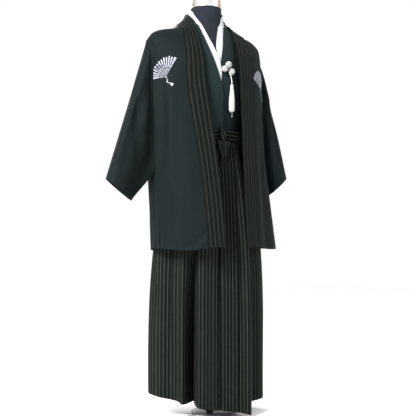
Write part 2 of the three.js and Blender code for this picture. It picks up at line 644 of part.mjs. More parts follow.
function addHaoriBody(side, name) {
  const outer = haoriPanel(side);
  const normals = gridNormals(outer, false);
  if (side < 0) normals.forEach((row) => row.forEach((n) => n.negate()));
  normals.forEach((row, i) => {
    const last = row.length - 1;
    const { f, facing } = haoriStations[i];
    if (facing === 0) row[last] = point(0, 0, 1);
    else row[last] = seamNormal(side, facing < 0, f > ARMHOLE_BOTTOM_ROW);
  });
  const inner = movedOut(outer, normals, -CLOTH);
  for (const grid of [outer, inner]) trimColumn(grid, true);
  addPiece(`haori_body_${name}`, wallGeometry(outer, inner), BLACK_SILK);
  addHaoriGusset(side, name);
  addSleeve(side, name, haoriPanel(side), haoriStations, SLEEVES[name], 'haori', BLACK_SILK);
}

function addHaoriGusset(side, name) {
  const panel = haoriPanel(side);
  const last = PANEL_COLUMNS.length - 1;
  const count = haoriStations.length;
  const rows = haoriStations.filter(({ f, facing }) => facing < 0 && f <= ARMHOLE_BOTTOM_ROW).length;
  const outer = [];
  const normals = [];
  for (let i = 0; i < rows; i += 1) {
    const front = panel[i][last];
    const back = panel[count - 1 - i][last];
    const middle = front.clone().lerp(back, 0.5);
    middle.x += side * GUSSET_BULGE;
    const ends = [front, back].map((p) => p.clone());
    outer.push([
      ends[0], front.clone().lerp(middle, 0.5), middle, back.clone().lerp(middle, 0.5), ends[1],
    ]);
    const across = point(side, 0, 0);
    normals.push([
      seamNormal(side, true, false), across, across, across, seamNormal(side, false, false),
    ]);
  }
  const inner = movedOut(outer, normals, -CLOTH);
  for (const grid of [outer, inner]) {
    trimColumn(grid, false);
    trimColumn(grid, true);
  }
  addPiece(`haori_gusset_${name}`, wallGeometry(outer, inner), BLACK_SILK);
}

// Sleeve: a flat tube from the armhole to the cuff, open at both ends, in soft lengthwise folds
function addSleeve(side, name, panel, stations, cuff, garment, finish) {
  const last = panel[0].length - 1;
  const armhole = [];
  stations.forEach(({ f }, i) => {
    if (f >= ARMHOLE_BOTTOM_ROW) armhole.push(panel[i][last].clone());
  });
  const lowest = armhole[0].clone().lerp(armhole[armhole.length - 1], 0.5);
  lowest.z += SLEEVE_FOOT;
  armhole.push(lowest);
  for (const p of armhole) p.x += side * 2 * SEAM;
  const count = armhole.length;
  const ridge = stations.filter(({ f, facing }) => facing < 0 && f >= ARMHOLE_BOTTOM_ROW).length;
  const [cx, cy, cz] = cuff.cuff;
  const ring = armhole.map((_, j) => {
    const turn = (ridge - j) / (j < ridge ? ridge + 1 : count - 1 - ridge) * Math.PI;
    const round = j === count - 1 ? 0 : Math.sin(turn);
    return point(
      cx + side * cuff.halfAcross * Math.cos(turn) - cuff.deep[0] * round,
      cy - cuff.deep[1] * round,
      cz + cuff.halfUp * Math.cos(turn),
    );
  });
  const outer = SLEEVE_RINGS.map((t) => armhole.map((p, j) => {
    const share = t ** 1.1;
    const at = p.clone().lerp(ring[j], share);
    const sway = Math.sin((j / (count - 1)) * Math.PI * 2 * SLEEVE_FOLD.waves);
    if (j !== ridge && j !== count - 1) at.y += SLEEVE_FOLD.depth * sway * 4 * t * (1 - t);
    return at;
  }));
  const normals = gridNormals(outer, true);
  const middle = outer[4].reduce((sum, p) => sum.add(p), point(0, 0, 0)).divideScalar(count);
  const outward = normals[4][ridge].dot(outer[4][ridge].clone().sub(middle)) > 0 ? 1 : -1;
  normals.forEach((row) => row.forEach((n) => n.multiplyScalar(outward)));
  normals[0] = normals[0].map((_, j) => {
    if (j === ridge) return point(0, 0, 1);
    if (j === count - 1) return point(0, 0, -1);
    return point(0, j < ridge ? -1 : 1, 0);
  });
  const inner = movedOut(outer, normals, -CLOTH);
  addPiece(`${garment}_sleeve_${name}`, wallGeometry(outer, inner, true), finish);
}

// Haori collar band: one strip from hem to hem, standing round the back of the neck
function bandRows(side) {
  const place = (x, f, way) => {
    const z = lerp(HAORI_HEM, ridgeHeight(haoriSection, side * Math.max(side * x, NECK_HALF)), f);
    return way === 0 ? point(x, haoriSection(z).mid, z) : surfacePoint(haoriSection, x, z, way);
  };
  const front = PANEL_ROWS.map((f) => {
    const height = lerp(HAORI_HEM, HAORI_TOP, f);
    const seam = bandEdge(side, 'seam', height) + side * BAND_OVERLAP;
    const free = bandEdge(side, 'free', height);
    return BAND_COLUMNS.map((t) => place(lerp(seam, free, t), f, -1));
  });
  const lows = [
    place(side * (BAND_AT_RIDGE + BAND_OVERLAP), BAND_TURN_ROW, -1),
    place(side * (BAND_AT_RIDGE + BAND_OVERLAP), 1, 0),
    ...BACK_NECK.map(({ f, x }) => place(side * x, f, 1)),
  ];
  const neck = BAND_NECK.map(({ turn, z, dip }, k) => {
    const high = collarPoint(side, turn, z, BAND_NECK_LIFT);
    return BAND_COLUMNS.map((t) => {
      const p = lows[k].clone().lerp(high, t);
      p.z += dip * t * (1 - t) * 4;
      return p;
    });
  });
  return [...front, ...neck];
}

function addStrip(name, rows, low, high, finish) {
  const normals = gridNormals(rows, false);
  if (normals[3][1].y > 0) normals.forEach((row) => row.forEach((n) => n.negate()));
  addPiece(name, wallGeometry(movedOut(rows, normals, high), movedOut(rows, normals, low)), finish);
}

function addHaoriBand() {
  const left = bandRows(1).reverse().slice(1);
  addStrip('haori_collar', [...bandRows(-1), ...left], BAND_LIFT.low, BAND_LIFT.high, STRIPED_SILK);
}

// Kimono: two body panels, right over left, drawn up under the hakama
const kimonoStations = panelStations(KIMONO_ROWS, KIMONO_BACK_NECK);

// How far the right front lies over the left one, row by row
const overlapLift = (f) => OVERLAP_LIFT * Math.min(Math.max((1 - f) / OVERLAP_FADE, 0), 1);

function kimonoPanel(side) {
  const rows = side < 0 ? KIMONO_COLLAR.right : KIMONO_COLLAR.left;
  return bodyPanel({
    side, sectionAt: kimonoSection, hem: KIMONO_HEM, top: KIMONO_TOP, stations: kimonoStations,
    columns: KIMONO_COLUMNS, frontEdge: (z) => tableValue(rows, 'z', 'seam', z), ridgeNeck: COLLAR_AT_RIDGE,
    opening: () => KIMONO_SIDE_GAP, lift: (f, facing) => (side < 0 && facing < 0 ? overlapLift(f) : 0),
  });
}

function addKimonoBody(side, name) {
  const outer = kimonoPanel(side);
  const normals = gridNormals(outer, false);
  if (side < 0) normals.forEach((row) => row.forEach((n) => n.negate()));
  normals.forEach((row, i) => {
    row[row.length - 1] = kimonoStations[i].facing === 0 ? point(0, 0, 1) : point(side, 0, 0);
  });
  const inner = movedOut(outer, normals, -CLOTH);
  for (const grid of [outer, inner]) trimColumn(grid, true);
  addPiece(`kimono_body_${name}`, wallGeometry(outer, inner), BLACK_SILK);
}

// Rows of a collar that runs down one front and stands round the back of the neck
function collarRows(side, edges, foot, neck) {
  const rows = KIMONO_ROWS.filter((f) => f >= foot);
  const front = rows.map((f) => {
    const height = lerp(KIMONO_HEM, KIMONO_TOP, f);
    const seam = tableValue(edges, 'z', 'seam', height);
    const free = tableValue(edges, 'z', 'free', height);
    return COLLAR_COLUMNS.map((t) => {
      const x = lerp(seam, free, t);
      const z = lerp(KIMONO_HEM, ridgeHeight(kimonoSection, side * Math.max(side * x, NECK_HALF)), f);
      return surfacePoint(kimonoSection, x, z, -1, side < 0 ? overlapLift(f) : 0);
    });
  });
  const standing = neck.map((row) => COLLAR_COLUMNS.map(
    (t) => collarPoint(side, lerp(row.lowTurn, row.highTurn, t), lerp(row.low, row.high, t))));
  return [...front, ...standing];
}

function addCollars() {
  const both = (name, edges, feet, neck, lift, finish) => {
    const right = collarRows(-1, edges.right, feet.right, [...neck.right, ...neck.back]);
    const left = collarRows(1, edges.left, feet.left, [...neck.left, ...neck.back]).reverse().slice(1);
    addStrip(name, [...right, ...left], lift, lift + CLOTH, finish);
  };
  const feet = { right: COLLAR_FOOT_ROW, left: COLLAR_FOOT_ROW };
  both('kimono_collar', KIMONO_COLLAR, feet, COLLAR_NECK, COLLAR_LIFT, BLACK_SILK);
  both('half_collar', HALF_COLLAR_EDGES, HALF_COLLAR_FOOT, HALF_COLLAR_NECK, HALF_COLLAR_LIFT, WHITE_SILK);
}

// Hakama: four pleated panels that hang from the waist
function hakamaPoint(fold, w) {
  const turn = THREE.MathUtils.degToRad(fold.turn);
  const waist = ovalPoint(WAIST, turn);
  const below = Math.max((w - HAKAMA_TUCK) / (1 - HAKAMA_TUCK), 0);
  const flare = 1 - (1 - below) ** HAKAMA_FLARE;
  const late = Math.max((w - fold.starts) / (1 - fold.starts), 0);
  const sunk = 1 - (1 - late) ** 2.5;
  return point(
    lerp(waist.x, fold.x, flare) + fold.sinkX * sunk,
    lerp(waist.y, fold.y, flare) + fold.sinkY * sunk,
    lerp(HAKAMA_TOP, fold.z, w),
  );
}

function ovalPoint(oval, turn, lift = 0) {
  const [c, s] = [Math.cos(turn), Math.sin(turn)];
  const round = 2 / oval.power;
  const depth = s < 0 ? oval.mid - oval.front : oval.back - oval.mid;
  return point(
    (oval.half + lift) * Math.sign(c) * Math.abs(c) ** round,
    oval.mid + (depth + lift) * Math.sign(s) * Math.abs(s) ** round,
    0,
  );
}

// Smooth closed curve through the folds of one level
function hakamaRing(w) {
  const folds = HAKAMA_FOLDS.map((fold) => hakamaPoint(fold, w));
  const count = folds.length;
  const ring = [];
  for (let k = 0; k < count; k += 1) {
    const [a, b, c, d] = [-1, 0, 1, 2].map((n) => folds[(k + n + count) % count]);
    for (let step = 0; step < HAKAMA_STEPS; step += 1) {
      const t = step / HAKAMA_STEPS;
      const square = a.clone().multiplyScalar(2).addScaledVector(b, -5).addScaledVector(c, 4).sub(d);
      const cube = d.clone().sub(a).addScaledVector(b, 3).addScaledVector(c, -3);
      const p = b.clone().multiplyScalar(2).addScaledVector(c.clone().sub(a), t);
      p.addScaledVector(square, t * t).addScaledVector(cube, t * t * t);
      ring.push(p.multiplyScalar(0.5));
    }
  }
  return ring;
}

function addHakama() {
  const outer = HAKAMA_LEVELS.map(hakamaRing);
  const normals = gridNormals(outer, true);
  const away = normals[0][0].dot(outer[0][0]) > 0 ? 1 : -1;
  const inner = movedOut(outer, normals, -away * HAKAMA_CLOTH);
  const columns = outer[0].length;
  for (const panel of ['front_right', 'front_left', 'back_left', 'back_right']) {
    const first = HAKAMA_FOLDS.findIndex((fold) => fold.panel === panel) * HAKAMA_STEPS;
    const span = HAKAMA_FOLDS.filter((fold) => fold.panel === panel).length * HAKAMA_STEPS;
    const cut = (grid) => grid.map((row) => Array.from(
      { length: span + 1 }, (_, n) => row[(first + n) % columns].clone()));
    const [out, into] = [cut(outer), cut(inner)];
    for (const grid of [out, into]) {
      trimColumn(grid, false);
      trimColumn(grid, true);
    }
    addPiece(`hakama_${panel}`, wallGeometry(out, into), STRIPED_SILK);
  }
}

// Waistband, back board, knot and tie ends of the hakama
function addHakamaWaist() {
  const { low, high, lift, thickness } = WAISTBAND;
  const ring = (z, out) => Array.from({ length: WAISTBAND_SEGMENTS }, (_, k) => {
    const p = ovalPoint(WAIST, (2 * Math.PI * k) / WAISTBAND_SEGMENTS, out);
    p.z = z;
    return p;
  });
  const heights = [low, lerp(low, high, 0.5), high];
  const bandOuter = heights.map((z) => ring(z, lift + thickness));
  const band = wallGeometry(bandOuter, heights.map((z) => ring(z, lift)), true);
  addPiece('hakama_waistband', band, STRIPED_SILK);

  const board = BACK_BOARD.rows.map(({ z, half }) => [-1, -0.6, -0.2, 0.2, 0.6, 1].map(
    (s) => surfacePoint(kimonoSection, s * half, z, 1, BACK_BOARD.lift)));
  const normals = board.map((row) => row.map(() => point(0, 1, 0)));
  const boardFace = movedOut(board, normals, BACK_BOARD.thickness);
  addPiece('hakama_back_board', wallGeometry(boardFace, board), STRIPED_SILK);

  const bandFront = WAIST.front - lift - thickness - SEAM;
  const profile = KNOT.profile.map(([y, z]) => new THREE.Vector2(y, z));
  const knotShape = new THREE.Shape(profile);
  const knot = new THREE.ExtrudeGeometry(knotShape, { depth: KNOT.width, bevelEnabled: false });
  knot.rotateX(Math.PI / 2);
  knot.rotateZ(Math.PI / 2);
  knot.translate(KNOT.x - KNOT.width / 2, bandFront, KNOT.z);
  addPiece('hakama_knot', knot, STRIPED_SILK);
  for (const { name, rows } of TIE_ENDS) {
    const grid = rows.map(({ z, from, to, y }) => TIE_COLUMNS.map((t) => point(lerp(from, to, t), y, z)));
    const facing = grid.map((row) => row.map(() => point(0, -1, 0)));
    addPiece(name, wallGeometry(movedOut(grid, facing, KNOT.cloth), grid), STRIPED_SILK);
  }
}

// Points spread evenly over a ball
function ballDirections(count) {
  const golden = Math.PI * (3 - Math.sqrt(5));
  return Array.from({ length: count }, (_, k) => {
    const height = 1 - (2 * (k + 0.5)) / count;
    const radius = Math.sqrt(1 - height * height);
    return point(radius * Math.cos(golden * k), radius * Math.sin(golden * k), height);
  });
}

function toManifold(geometry) {
  const bare = geometry.index ? geometry.clone() : geometry;
  for (const name of ['normal', 'uv']) bare.deleteAttribute(name);
  const merged = mergeVertices(bare, 1e-4);
  return new wasm.Manifold(new wasm.Mesh({
    numProp: 3,
    vertProperties: new Float32Array(merged.attributes.position.array),
    triVerts: new Uint32Array(merged.index.array),
  }));
}

function fromManifold(solid) {
  const mesh = solid.getMesh();
  return facingOut(Array.from(mesh.vertProperties), Array.from(mesh.triVerts));
}

// One lock of wool: a tapering three-sided spike along a direction
function lockGeometry(from, to, rootHalf, tipHalf) {
  const along = to.clone().sub(from).normalize();
  const side = Math.abs(along.z) > 0.9 ? point(1, 0, 0) : point(0, 0, 1);
  const u = along.clone().cross(side).normalize();
  const v = along.clone().cross(u);
  const section = (at, half) => [[1.3, 0], [-0.7, 1.1], [-0.7, -1.1]].map(
    ([a, b]) => at.clone().addScaledVector(u, a * half).addScaledVector(v, b * half));
  return loftGeometry([section(from, rootHalf), section(to, tipHalf)]);
}

function addPompoms() {
  for (const { name, x, z } of POMPOMS) {
    const y = surfacePoint(kimonoSection, x, z, -1, OVERLAP_LIFT).y - SEAM - POMPOM.radius;
    const centre = point(x, y, z);
    const core = new THREE.SphereGeometry(POMPOM.core, 10, 7);
    core.translate(x, y, z);
    let solid = toManifold(core);
    for (const way of ballDirections(POMPOM.locks)) {
      const from = centre.clone().addScaledVector(way, POMPOM.core * 0.7);
      const to = centre.clone().addScaledVector(way, POMPOM.radius);
      solid = solid.add(toManifold(lockGeometry(from, to, POMPOM.rootHalf, POMPOM.tipHalf)));
    }
    addPiece(`tie_pompom_${name}`, fromManifold(solid), WHITE_SILK);
  }
}

function tubeAlong(points, radius, sides) {
  const curve = new THREE.CatmullRomCurve3(points);
  const ring = Array.from({ length: sides }, (_, k) => {
    const turn = (2 * Math.PI * k) / sides;
    return new THREE.Vector2(radius * Math.cos(turn), radius * Math.sin(turn));
  });
  return new THREE.ExtrudeGeometry(new THREE.Shape(ring), { steps: points.length * 2, extrudePath: curve });
}

function addTassel() {
  const cord = CORD_ROUTE.map(([x, y, z]) => point(x, y, z));
  addPiece('tie_cord', tubeAlong(cord, CORD_RADIUS, CORD_SIDES), WHITE_SILK);
  const { top, bottom, head, headHeight, neck, bore, root: rootDepth, rootHalf, half, uneven } = TASSEL;
  const { x, y } = cord[cord.length - 1];
  const low = top - headHeight;
  const profile = [
    [bore, low], [neck, low], [head, low + 5], [head, top - 4], [head * 0.6, top], [bore, top], [bore, low],
  ];
  let solid = toManifold(latheAt(profile, 16, [x, y, 0]));
  for (const { strands, root, tip } of TASSEL_RINGS) {
    for (let k = 0; k < strands; k += 1) {
      const turn = (2 * Math.PI * (k + 0.5)) / strands;
      const at = (radius, z) => point(x + radius * Math.cos(turn), y + radius * Math.sin(turn), z);
      const drop = bottom + uneven * (k % 3);
      const strand = lockGeometry(at(root, top - rootDepth), at(tip, drop), rootHalf, half);
      solid = solid.add(toManifold(strand));
    }
  }
  addPiece('tie_tassel', fromManifold(solid), WHITE_SILK);
}

addDressForm();
addKimonoBody(-1, 'right');
addKimonoBody(1, 'left');
addCollars();
addHakama();
addHakamaWaist();
addHaoriBody(-1, 'right');
addHaoriBody(1, 'left');
addHaoriBand();
addPompoms();
addTassel();

export default model;
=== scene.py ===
# %% [markdown]
# # A men's formal kimono set on a dress form
# A black coat with a striped collar band hangs open over a black kimono and a pleated, striped
# trouser-skirt. You will build every piece as cloth: a grid of points that follows the body, given
# a thickness. The first cell loads the plain solids that share their place and size with the looks.

# %% Load the shared frame
import math
import random
from bisect import bisect_left

import bpy
import numpy as np
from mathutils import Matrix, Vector


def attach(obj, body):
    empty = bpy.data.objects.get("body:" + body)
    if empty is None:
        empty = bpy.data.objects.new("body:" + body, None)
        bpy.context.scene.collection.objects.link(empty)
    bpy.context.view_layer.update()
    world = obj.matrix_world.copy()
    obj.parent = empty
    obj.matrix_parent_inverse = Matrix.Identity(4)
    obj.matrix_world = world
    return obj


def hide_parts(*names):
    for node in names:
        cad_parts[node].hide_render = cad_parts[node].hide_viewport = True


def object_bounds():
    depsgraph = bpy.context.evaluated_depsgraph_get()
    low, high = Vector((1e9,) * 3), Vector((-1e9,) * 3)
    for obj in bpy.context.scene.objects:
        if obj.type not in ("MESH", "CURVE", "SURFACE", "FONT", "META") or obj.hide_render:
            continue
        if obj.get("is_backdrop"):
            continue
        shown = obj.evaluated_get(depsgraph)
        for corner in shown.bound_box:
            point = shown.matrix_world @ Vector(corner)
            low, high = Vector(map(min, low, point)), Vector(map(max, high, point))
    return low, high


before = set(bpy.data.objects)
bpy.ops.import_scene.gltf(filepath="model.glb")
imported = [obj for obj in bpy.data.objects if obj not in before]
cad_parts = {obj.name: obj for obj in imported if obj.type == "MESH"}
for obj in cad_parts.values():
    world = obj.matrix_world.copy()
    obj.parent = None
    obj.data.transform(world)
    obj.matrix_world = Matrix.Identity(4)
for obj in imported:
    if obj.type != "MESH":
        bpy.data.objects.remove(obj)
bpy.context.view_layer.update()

scene = bpy.context.scene
MM = 0.001

# %% [markdown]
# ## Camera
# The photograph was taken from the wearer's right, level with the hips and looking slightly up.
# A long lens far away gives the same mild perspective, so pieces fall on the same picture points.

# %% Camera
CAMERA_AT = (-2.0587, -2.9534, 0.632)
CAMERA_TILT_UP = 2.444
CAMERA_TURN = -35.0
LENS_MM = 81.09

lens = bpy.data.cameras.new("photo_camera")
lens.lens = LENS_MM
lens.sensor_width = 36.0
camera = bpy.data.objects.new("photo_camera", lens)
camera.location = CAMERA_AT
camera.rotation_euler = (math.radians(90 + CAMERA_TILT_UP), 0, math.radians(CAMERA_TURN))
scene.collection.objects.link(camera)
scene.camera = camera
print("camera", CAMERA_AT, "lens", LENS_MM)

# %% [markdown]
# ## Curves through a few points
# A tailor marks a few points and draws an eased line through them. `eased` does so for any values
# at any places: it takes the slope at each mark from its two neighbours, which leaves no corners.
# A grid of points is made finer the same way, first along its rows, then along its columns.

# %% Eased curves and finer grids
def eased(keys, values, at):
    keys = np.asarray(keys, float)
    values = np.asarray(values, float)
    at = np.clip(at, keys[0], keys[-1])
    spread = (slice(None),) + (None,) * (values.ndim - 1)
    slope = np.empty_like(values)
    slope[1:-1] = (values[2:] - values[:-2]) / (keys[2:] - keys[:-2])[spread]
    slope[0] = (values[1] - values[0]) / (keys[1] - keys[0])
    slope[-1] = (values[-1] - values[-2]) / (keys[-1] - keys[-2])
    i = np.clip(np.searchsorted(keys, at, side="right") - 1, 0, len(keys) - 2)
    span = (keys[i + 1] - keys[i])[spread]
    t = ((at - keys[i]) / (keys[i + 1] - keys[i]))[spread]
    near = (2 * t**3 - 3 * t**2 + 1) * values[i] + (t**3 - 2 * t**2 + t) * span * slope[i]
    far = (3 * t**2 - 2 * t**3) * values[i + 1] + (t**3 - t**2) * span * slope[i + 1]
    return near + far


def finer_places(grid, pitch):
    steps = np.linalg.norm(np.diff(grid, axis=0), axis=-1)
    keys = np.concatenate([[0.0], np.cumsum(np.maximum(steps.mean(axis=1), 0.05))])
    at = [np.linspace(a, b, max(1, round((b - a) / pitch)), endpoint=False)
          for a, b in zip(keys[:-1], keys[1:])]
    return keys, np.concatenate(at + [[keys[-1]]])


def refined(outer, inner, pitch, wrap=False):
    """Both faces of a cloth, with a point every pitch millimetres or so."""
    keys, at = finer_places(outer, pitch)
    outer, inner = eased(keys, outer, at), eased(keys, inner, at)
    if wrap:
        pad = 3
        outer = np.concatenate([outer[:, -pad:], outer, outer[:, :pad + 1]], axis=1)
        inner = np.concatenate([inner[:, -pad:], inner, inner[:, :pad + 1]], axis=1)
    keys, at = finer_places(np.moveaxis(outer, 1, 0), pitch)
    if wrap:
        at = at[(at >= keys[pad]) & (at <= keys[-pad - 1])]
    turned = [eased(keys, np.moveaxis(g, 1, 0), at) for g in (outer, inner)]
    return np.moveaxis(turned[0], 0, 1), np.moveaxis(turned[1], 0, 1)


class Table:
    """A short table whose first column is the key; value() eases between its rows."""

    def __init__(self, names, *rows):
        self.names = names.split()
        self.columns = dict(zip(self.names, zip(*rows)))
        self.keys = self.columns[self.names[0]]

    def value(self, column, at):
        keys, values = self.keys, self.columns[column]
        if at <= keys[0]:
            return values[0]
        if at >= keys[-1]:
            return values[-1]
        i = bisect_left(keys, at)
        span = keys[i] - keys[i - 1]
        t = (at - keys[i - 1]) / span
        j, k = max(i - 2, 0), min(i + 1, len(keys) - 1)
        slope_in = (values[i] - values[j]) / (keys[i] - keys[j])
        slope_out = (values[k] - values[i - 1]) / (keys[k] - keys[i - 1])
        near = (2 * t**3 - 3 * t**2 + 1) * values[i - 1] + (t**3 - 2 * t**2 + t) * span * slope_in
        return near + (3 * t**2 - 2 * t**3) * values[i] + (t**3 - t**2) * span * slope_out

    def section(self, at):
        return {name: self.value(name, at) for name in self.names[1:]}


print("an eased curve at its middle:", eased([0, 1, 2], [0.0, 1.0, 0.0], np.array([0.5])))

# %% [markdown]
# ## The cord of the coat's tie
# The coat is tied with a white braided cord. It carries three pompoms and a tassel. The cord is a
# thin tube along a short hanging line, with a braid's small bulges, and it ends in the tassel.

# %% Cord
CORD_RADIUS = 1.7
CORD_BULGE = 0.07
CORD_ROUTE = np.array([[12, -134, 1296], [12, -142, 1283], [13, -147, 1268], [14, -149, 1254],
                       [14, -149, 1243.4], [14, -149, 1208], [14, -149, 1172]], float)
CORD_PITCH = 0.7
BRAID_LENGTH = 2.8
# Edges sharper than this stay sharp in the shading of every piece
SHARP_ANGLE = math.radians(55)


def new_object(name, vertices, faces, smooth=True):
    """A mesh object from points in millimetres."""
    mesh = bpy.data.meshes.new(name)
    mesh.from_pydata([tuple(v) for v in np.asarray(vertices) * MM], [], [tuple(f) for f in faces])
    mesh.update()
    if smooth:
        mesh.polygons.foreach_set("use_smooth", [True] * len(mesh.polygons))
        mesh.set_sharp_from_angle(angle=SHARP_ANGLE)
    made = bpy.data.objects.new(name, mesh)
    scene.collection.objects.link(made)
    return made


def dress(piece, material, nodes=()):
    """Gives a piece its material and lets it stand for its solids."""
    piece.data.materials.append(material)
    if nodes:
        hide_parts(*nodes)
    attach(piece, "root")
    return piece


def ring_faces(rows, sides, loop=False):
    """Quads between rings of points, with a cap at each end unless the rings close in a loop."""
    faces = []
    for i in range(rows if loop else rows - 1):
        n = (i + 1) % rows
        faces += [(i * sides + j, i * sides + (j + 1) % sides, n * sides + (j + 1) % sides, n * sides + j)
                  for j in range(sides)]
    if not loop:
        faces += [tuple(range(sides))[::-1], tuple(range((rows - 1) * sides, rows * sides))]
    return faces


def tube(route, radii, sides):
    """Vertices and faces of a tube along a line, closed at both ends."""
    route = np.asarray(route, float)
    way = np.gradient(route, axis=0)
    way /= np.linalg.norm(way, axis=1)[:, None]
    side = np.cross(way, [0.31, 0.22, 0.92] if abs(way[0][2]) < 0.8 else [0.9, 0.3, 0.1])
    side /= np.linalg.norm(side, axis=1)[:, None]
    other = np.cross(way, side)
    turn = 2 * math.pi * np.arange(sides) / sides
    ring = (np.cos(turn)[None, :, None] * side[:, None] + np.sin(turn)[None, :, None] * other[:, None])
    vertices = (route[:, None] + ring * np.asarray(radii)[:, None, None]).reshape(-1, 3)
    return vertices, ring_faces(len(route), sides)


cord_keys, cord_at = finer_places(CORD_ROUTE[:, None], CORD_PITCH)
cord_line = eased(cord_keys, CORD_ROUTE, cord_at)
bulges = CORD_RADIUS * (1 - CORD_BULGE * (0.5 + 0.5 * np.cos(cord_at * 2 * math.pi / BRAID_LENGTH)))
cord = new_object("tie_cord_braid", *tube(cord_line, bulges, 12))

# %% [markdown]
# ## Sections of the body and of what it wears
# Every garment takes its shape from the body below it, like real clothes. Each section is half an
# oval at the front and half an oval at the back; the tables give its width and depths by height.

# %% Sections
FORM = Table(
    "z half front back mid",
    (700, 118, -70, 78, 6), (800, 124, -74, 84, 6), (880, 131, -80, 89, 8), (960, 138, -86, 91, 8),
    (1040, 146, -90, 92, 8), (1130, 153, -96, 98, 8), (1230, 170, -113, 110, 8),
    (1320, 180, -106, 113, 8), (1380, 190, -89, 105, 8), (1415, 194, -73, 93, 8),
    (1440, 184, -63, 81, 7), (1450, 170, -60, 77, 6), (1462, 138, -57, 71, 5),
    (1476, 106, -55, 66, 4), (1488, 83, -54, 63, 3), (1502, 66, -55, 61, 1), (1530, 60, -58, 59, 0),
    (1557, 59, -59, 59, 0))
HAORI = Table(
    "z right left front back mid power",
    (630, 222, 346, -188, 159, 18, 1.55), (780, 232, 312, -176, 150, 16, 1.7),
    (925, 244, 280, -166, 140, 15, 1.85), (1050, 252, 262, -156, 131, 14, 2),
    (1150, 256, 258, -149, 126, 13, 2), (1230, 257, 257, -142, 130, 13, 2),
    (1320, 257, 257, -132, 132, 13, 2), (1380, 257, 257, -112, 122, 12, 2),
    (1414, 255, 255, -92, 108, 11, 2), (1433, 240, 240, -80, 96, 9, 2),
    (1448, 214, 214, -74, 88, 7, 2), (1457, 178, 178, -70, 84, 6, 2))
COLLAR_STAND = Table(
    "z half front back mid",
    (1462, 144, -63, 78, 5), (1476, 113, -61, 76, 4), (1488, 89, -60, 76, 3),
    (1502, 77, -60.5, 78, 1.5), (1520, 70, -62.5, 80, 0), (1541, 67, -63.5, 81, 0),
    (1563, 65, -63.5, 78, 0))
KIMONO_LIFT = {"up": 1.7, "side": 4, "chest": 5}
HAORI_LIFT = {"up": 5.5, "side": 4.5, "chest": 12}
NECK_HALF = 84
RIDGE = {"low": 1380, "high": 1500}


def xyz(x, y, z):
    return np.array([x, y, z], float)


def form_section(z):
    part = FORM.section(z)
    return {**part, "right": part["half"], "left": part["half"], "power": 2}


def kimono_section(z):
    part = form_section(z - KIMONO_LIFT["up"])
    half = part["half"] + KIMONO_LIFT["side"]
    return {**part, "right": half, "left": half, "front": part["front"] - KIMONO_LIFT["chest"],
            "back": part["back"] + KIMONO_LIFT["chest"]}


def haori_section(z):
    if z <= HAORI.keys[-1]:
        return HAORI.section(z)
    part = form_section(z - HAORI_LIFT["up"])
    side = min(part["half"] + HAORI_LIFT["side"], HAORI.columns["right"][-1])
    return {"power": 2, "right": side, "left": side, "mid": part["mid"],
            "front": part["front"] - HAORI_LIFT["chest"], "back": part["back"] + HAORI_LIFT["chest"]}


def ridge_height(section_at, x):
    low, high = RIDGE["low"], RIDGE["high"]
    for _ in range(24):
        z = (low + high) / 2
        if section_at(z)["right" if x < 0 else "left"] > abs(x):
            low = z
        else:
            high = z
    return (low + high) / 2


def surface_point(section_at, x, z, facing, lift=0):
    part = section_at(z)
    half = part["right"] if x < 0 else part["left"]
    power = part["power"] if facing < 0 and x > 0 else 2
    share = (1 - min(abs(x) / half, 1) ** power) ** (1 / power)
    depth = part["front"] - lift if facing < 0 else part["back"] + lift
    return xyz(x, part["mid"] + (depth - part["mid"]) * share, z)


def oval_point(oval, turn, z, lift=0):
    c, s = math.cos(turn), math.sin(turn)
    bend = 2 / oval["power"]
    depth = oval["mid"] - oval["front"] if s < 0 else oval["back"] - oval["mid"]
    return xyz((oval["half"] + lift) * math.copysign(abs(c) ** bend, c),
               oval["mid"] + (depth + lift) * math.copysign(abs(s) ** bend, s), z)


def collar_point(side, degrees, z, lift=0):
    oval = {**COLLAR_STAND.section(z), "power": 2}
    at = oval_point(oval, math.radians(degrees), z, lift)
    return xyz(side * at[0], at[1], z)


print("chest of the coat:", {k: round(v) for k, v in haori_section(1300).items()})

# %% [markdown]
# ## Cloth walls
# Cloth has two faces. A wall joins an outer and an inner grid round their edges, and stores how far
# each point lies across and along the cloth in metres. Stripes and weave are drawn with those
# lengths, so they follow the grain of the cloth and not the room.

# %% Walls, their lengths and their folds
CLOTH = 1.5
SEAM = 0.3
# The sides of the body lie at this depth; a fold fades out within a short way of it
SIDE_LINE = 15
SIDE_FADE = 12
made_of = {}


def grid_normals(grid, wrap=False):
    up = np.empty_like(grid)
    up[1:-1] = grid[2:] - grid[:-2]
    up[0], up[-1] = grid[1] - grid[0], grid[-1] - grid[-2]
    if wrap:
        across = np.roll(grid, -1, axis=1) - np.roll(grid, 1, axis=1)
    else:
        across = np.empty_like(grid)
        across[:, 1:-1] = grid[:, 2:] - grid[:, :-2]
        across[:, 0], across[:, -1] = grid[:, 1] - grid[:, 0], grid[:, -1] - grid[:, -2]
    normals = np.cross(across, up)
    return normals / np.linalg.norm(normals, axis=-1)[..., None]


def trim_column(grid, last):
    edge, inside = (-1, -2) if last else (0, 1)
    way = grid[:, inside] - grid[:, edge]
    grid[:, edge] += way / np.linalg.norm(way, axis=-1)[:, None] * SEAM / 2


def lengths(grid, axis):
    steps = np.linalg.norm(np.diff(grid, axis=axis), axis=-1)
    zero = np.zeros_like(np.take(steps, [0], axis=axis))
    return np.concatenate([zero, np.cumsum(steps, axis=axis)], axis=axis)


def cloth_area(grid):
    a, b = grid[:-1, :-1] - grid[1:, 1:], grid[:-1, 1:] - grid[1:, :-1]
    return float(np.linalg.norm(np.cross(a, b), axis=-1).sum() / 2) * MM * MM


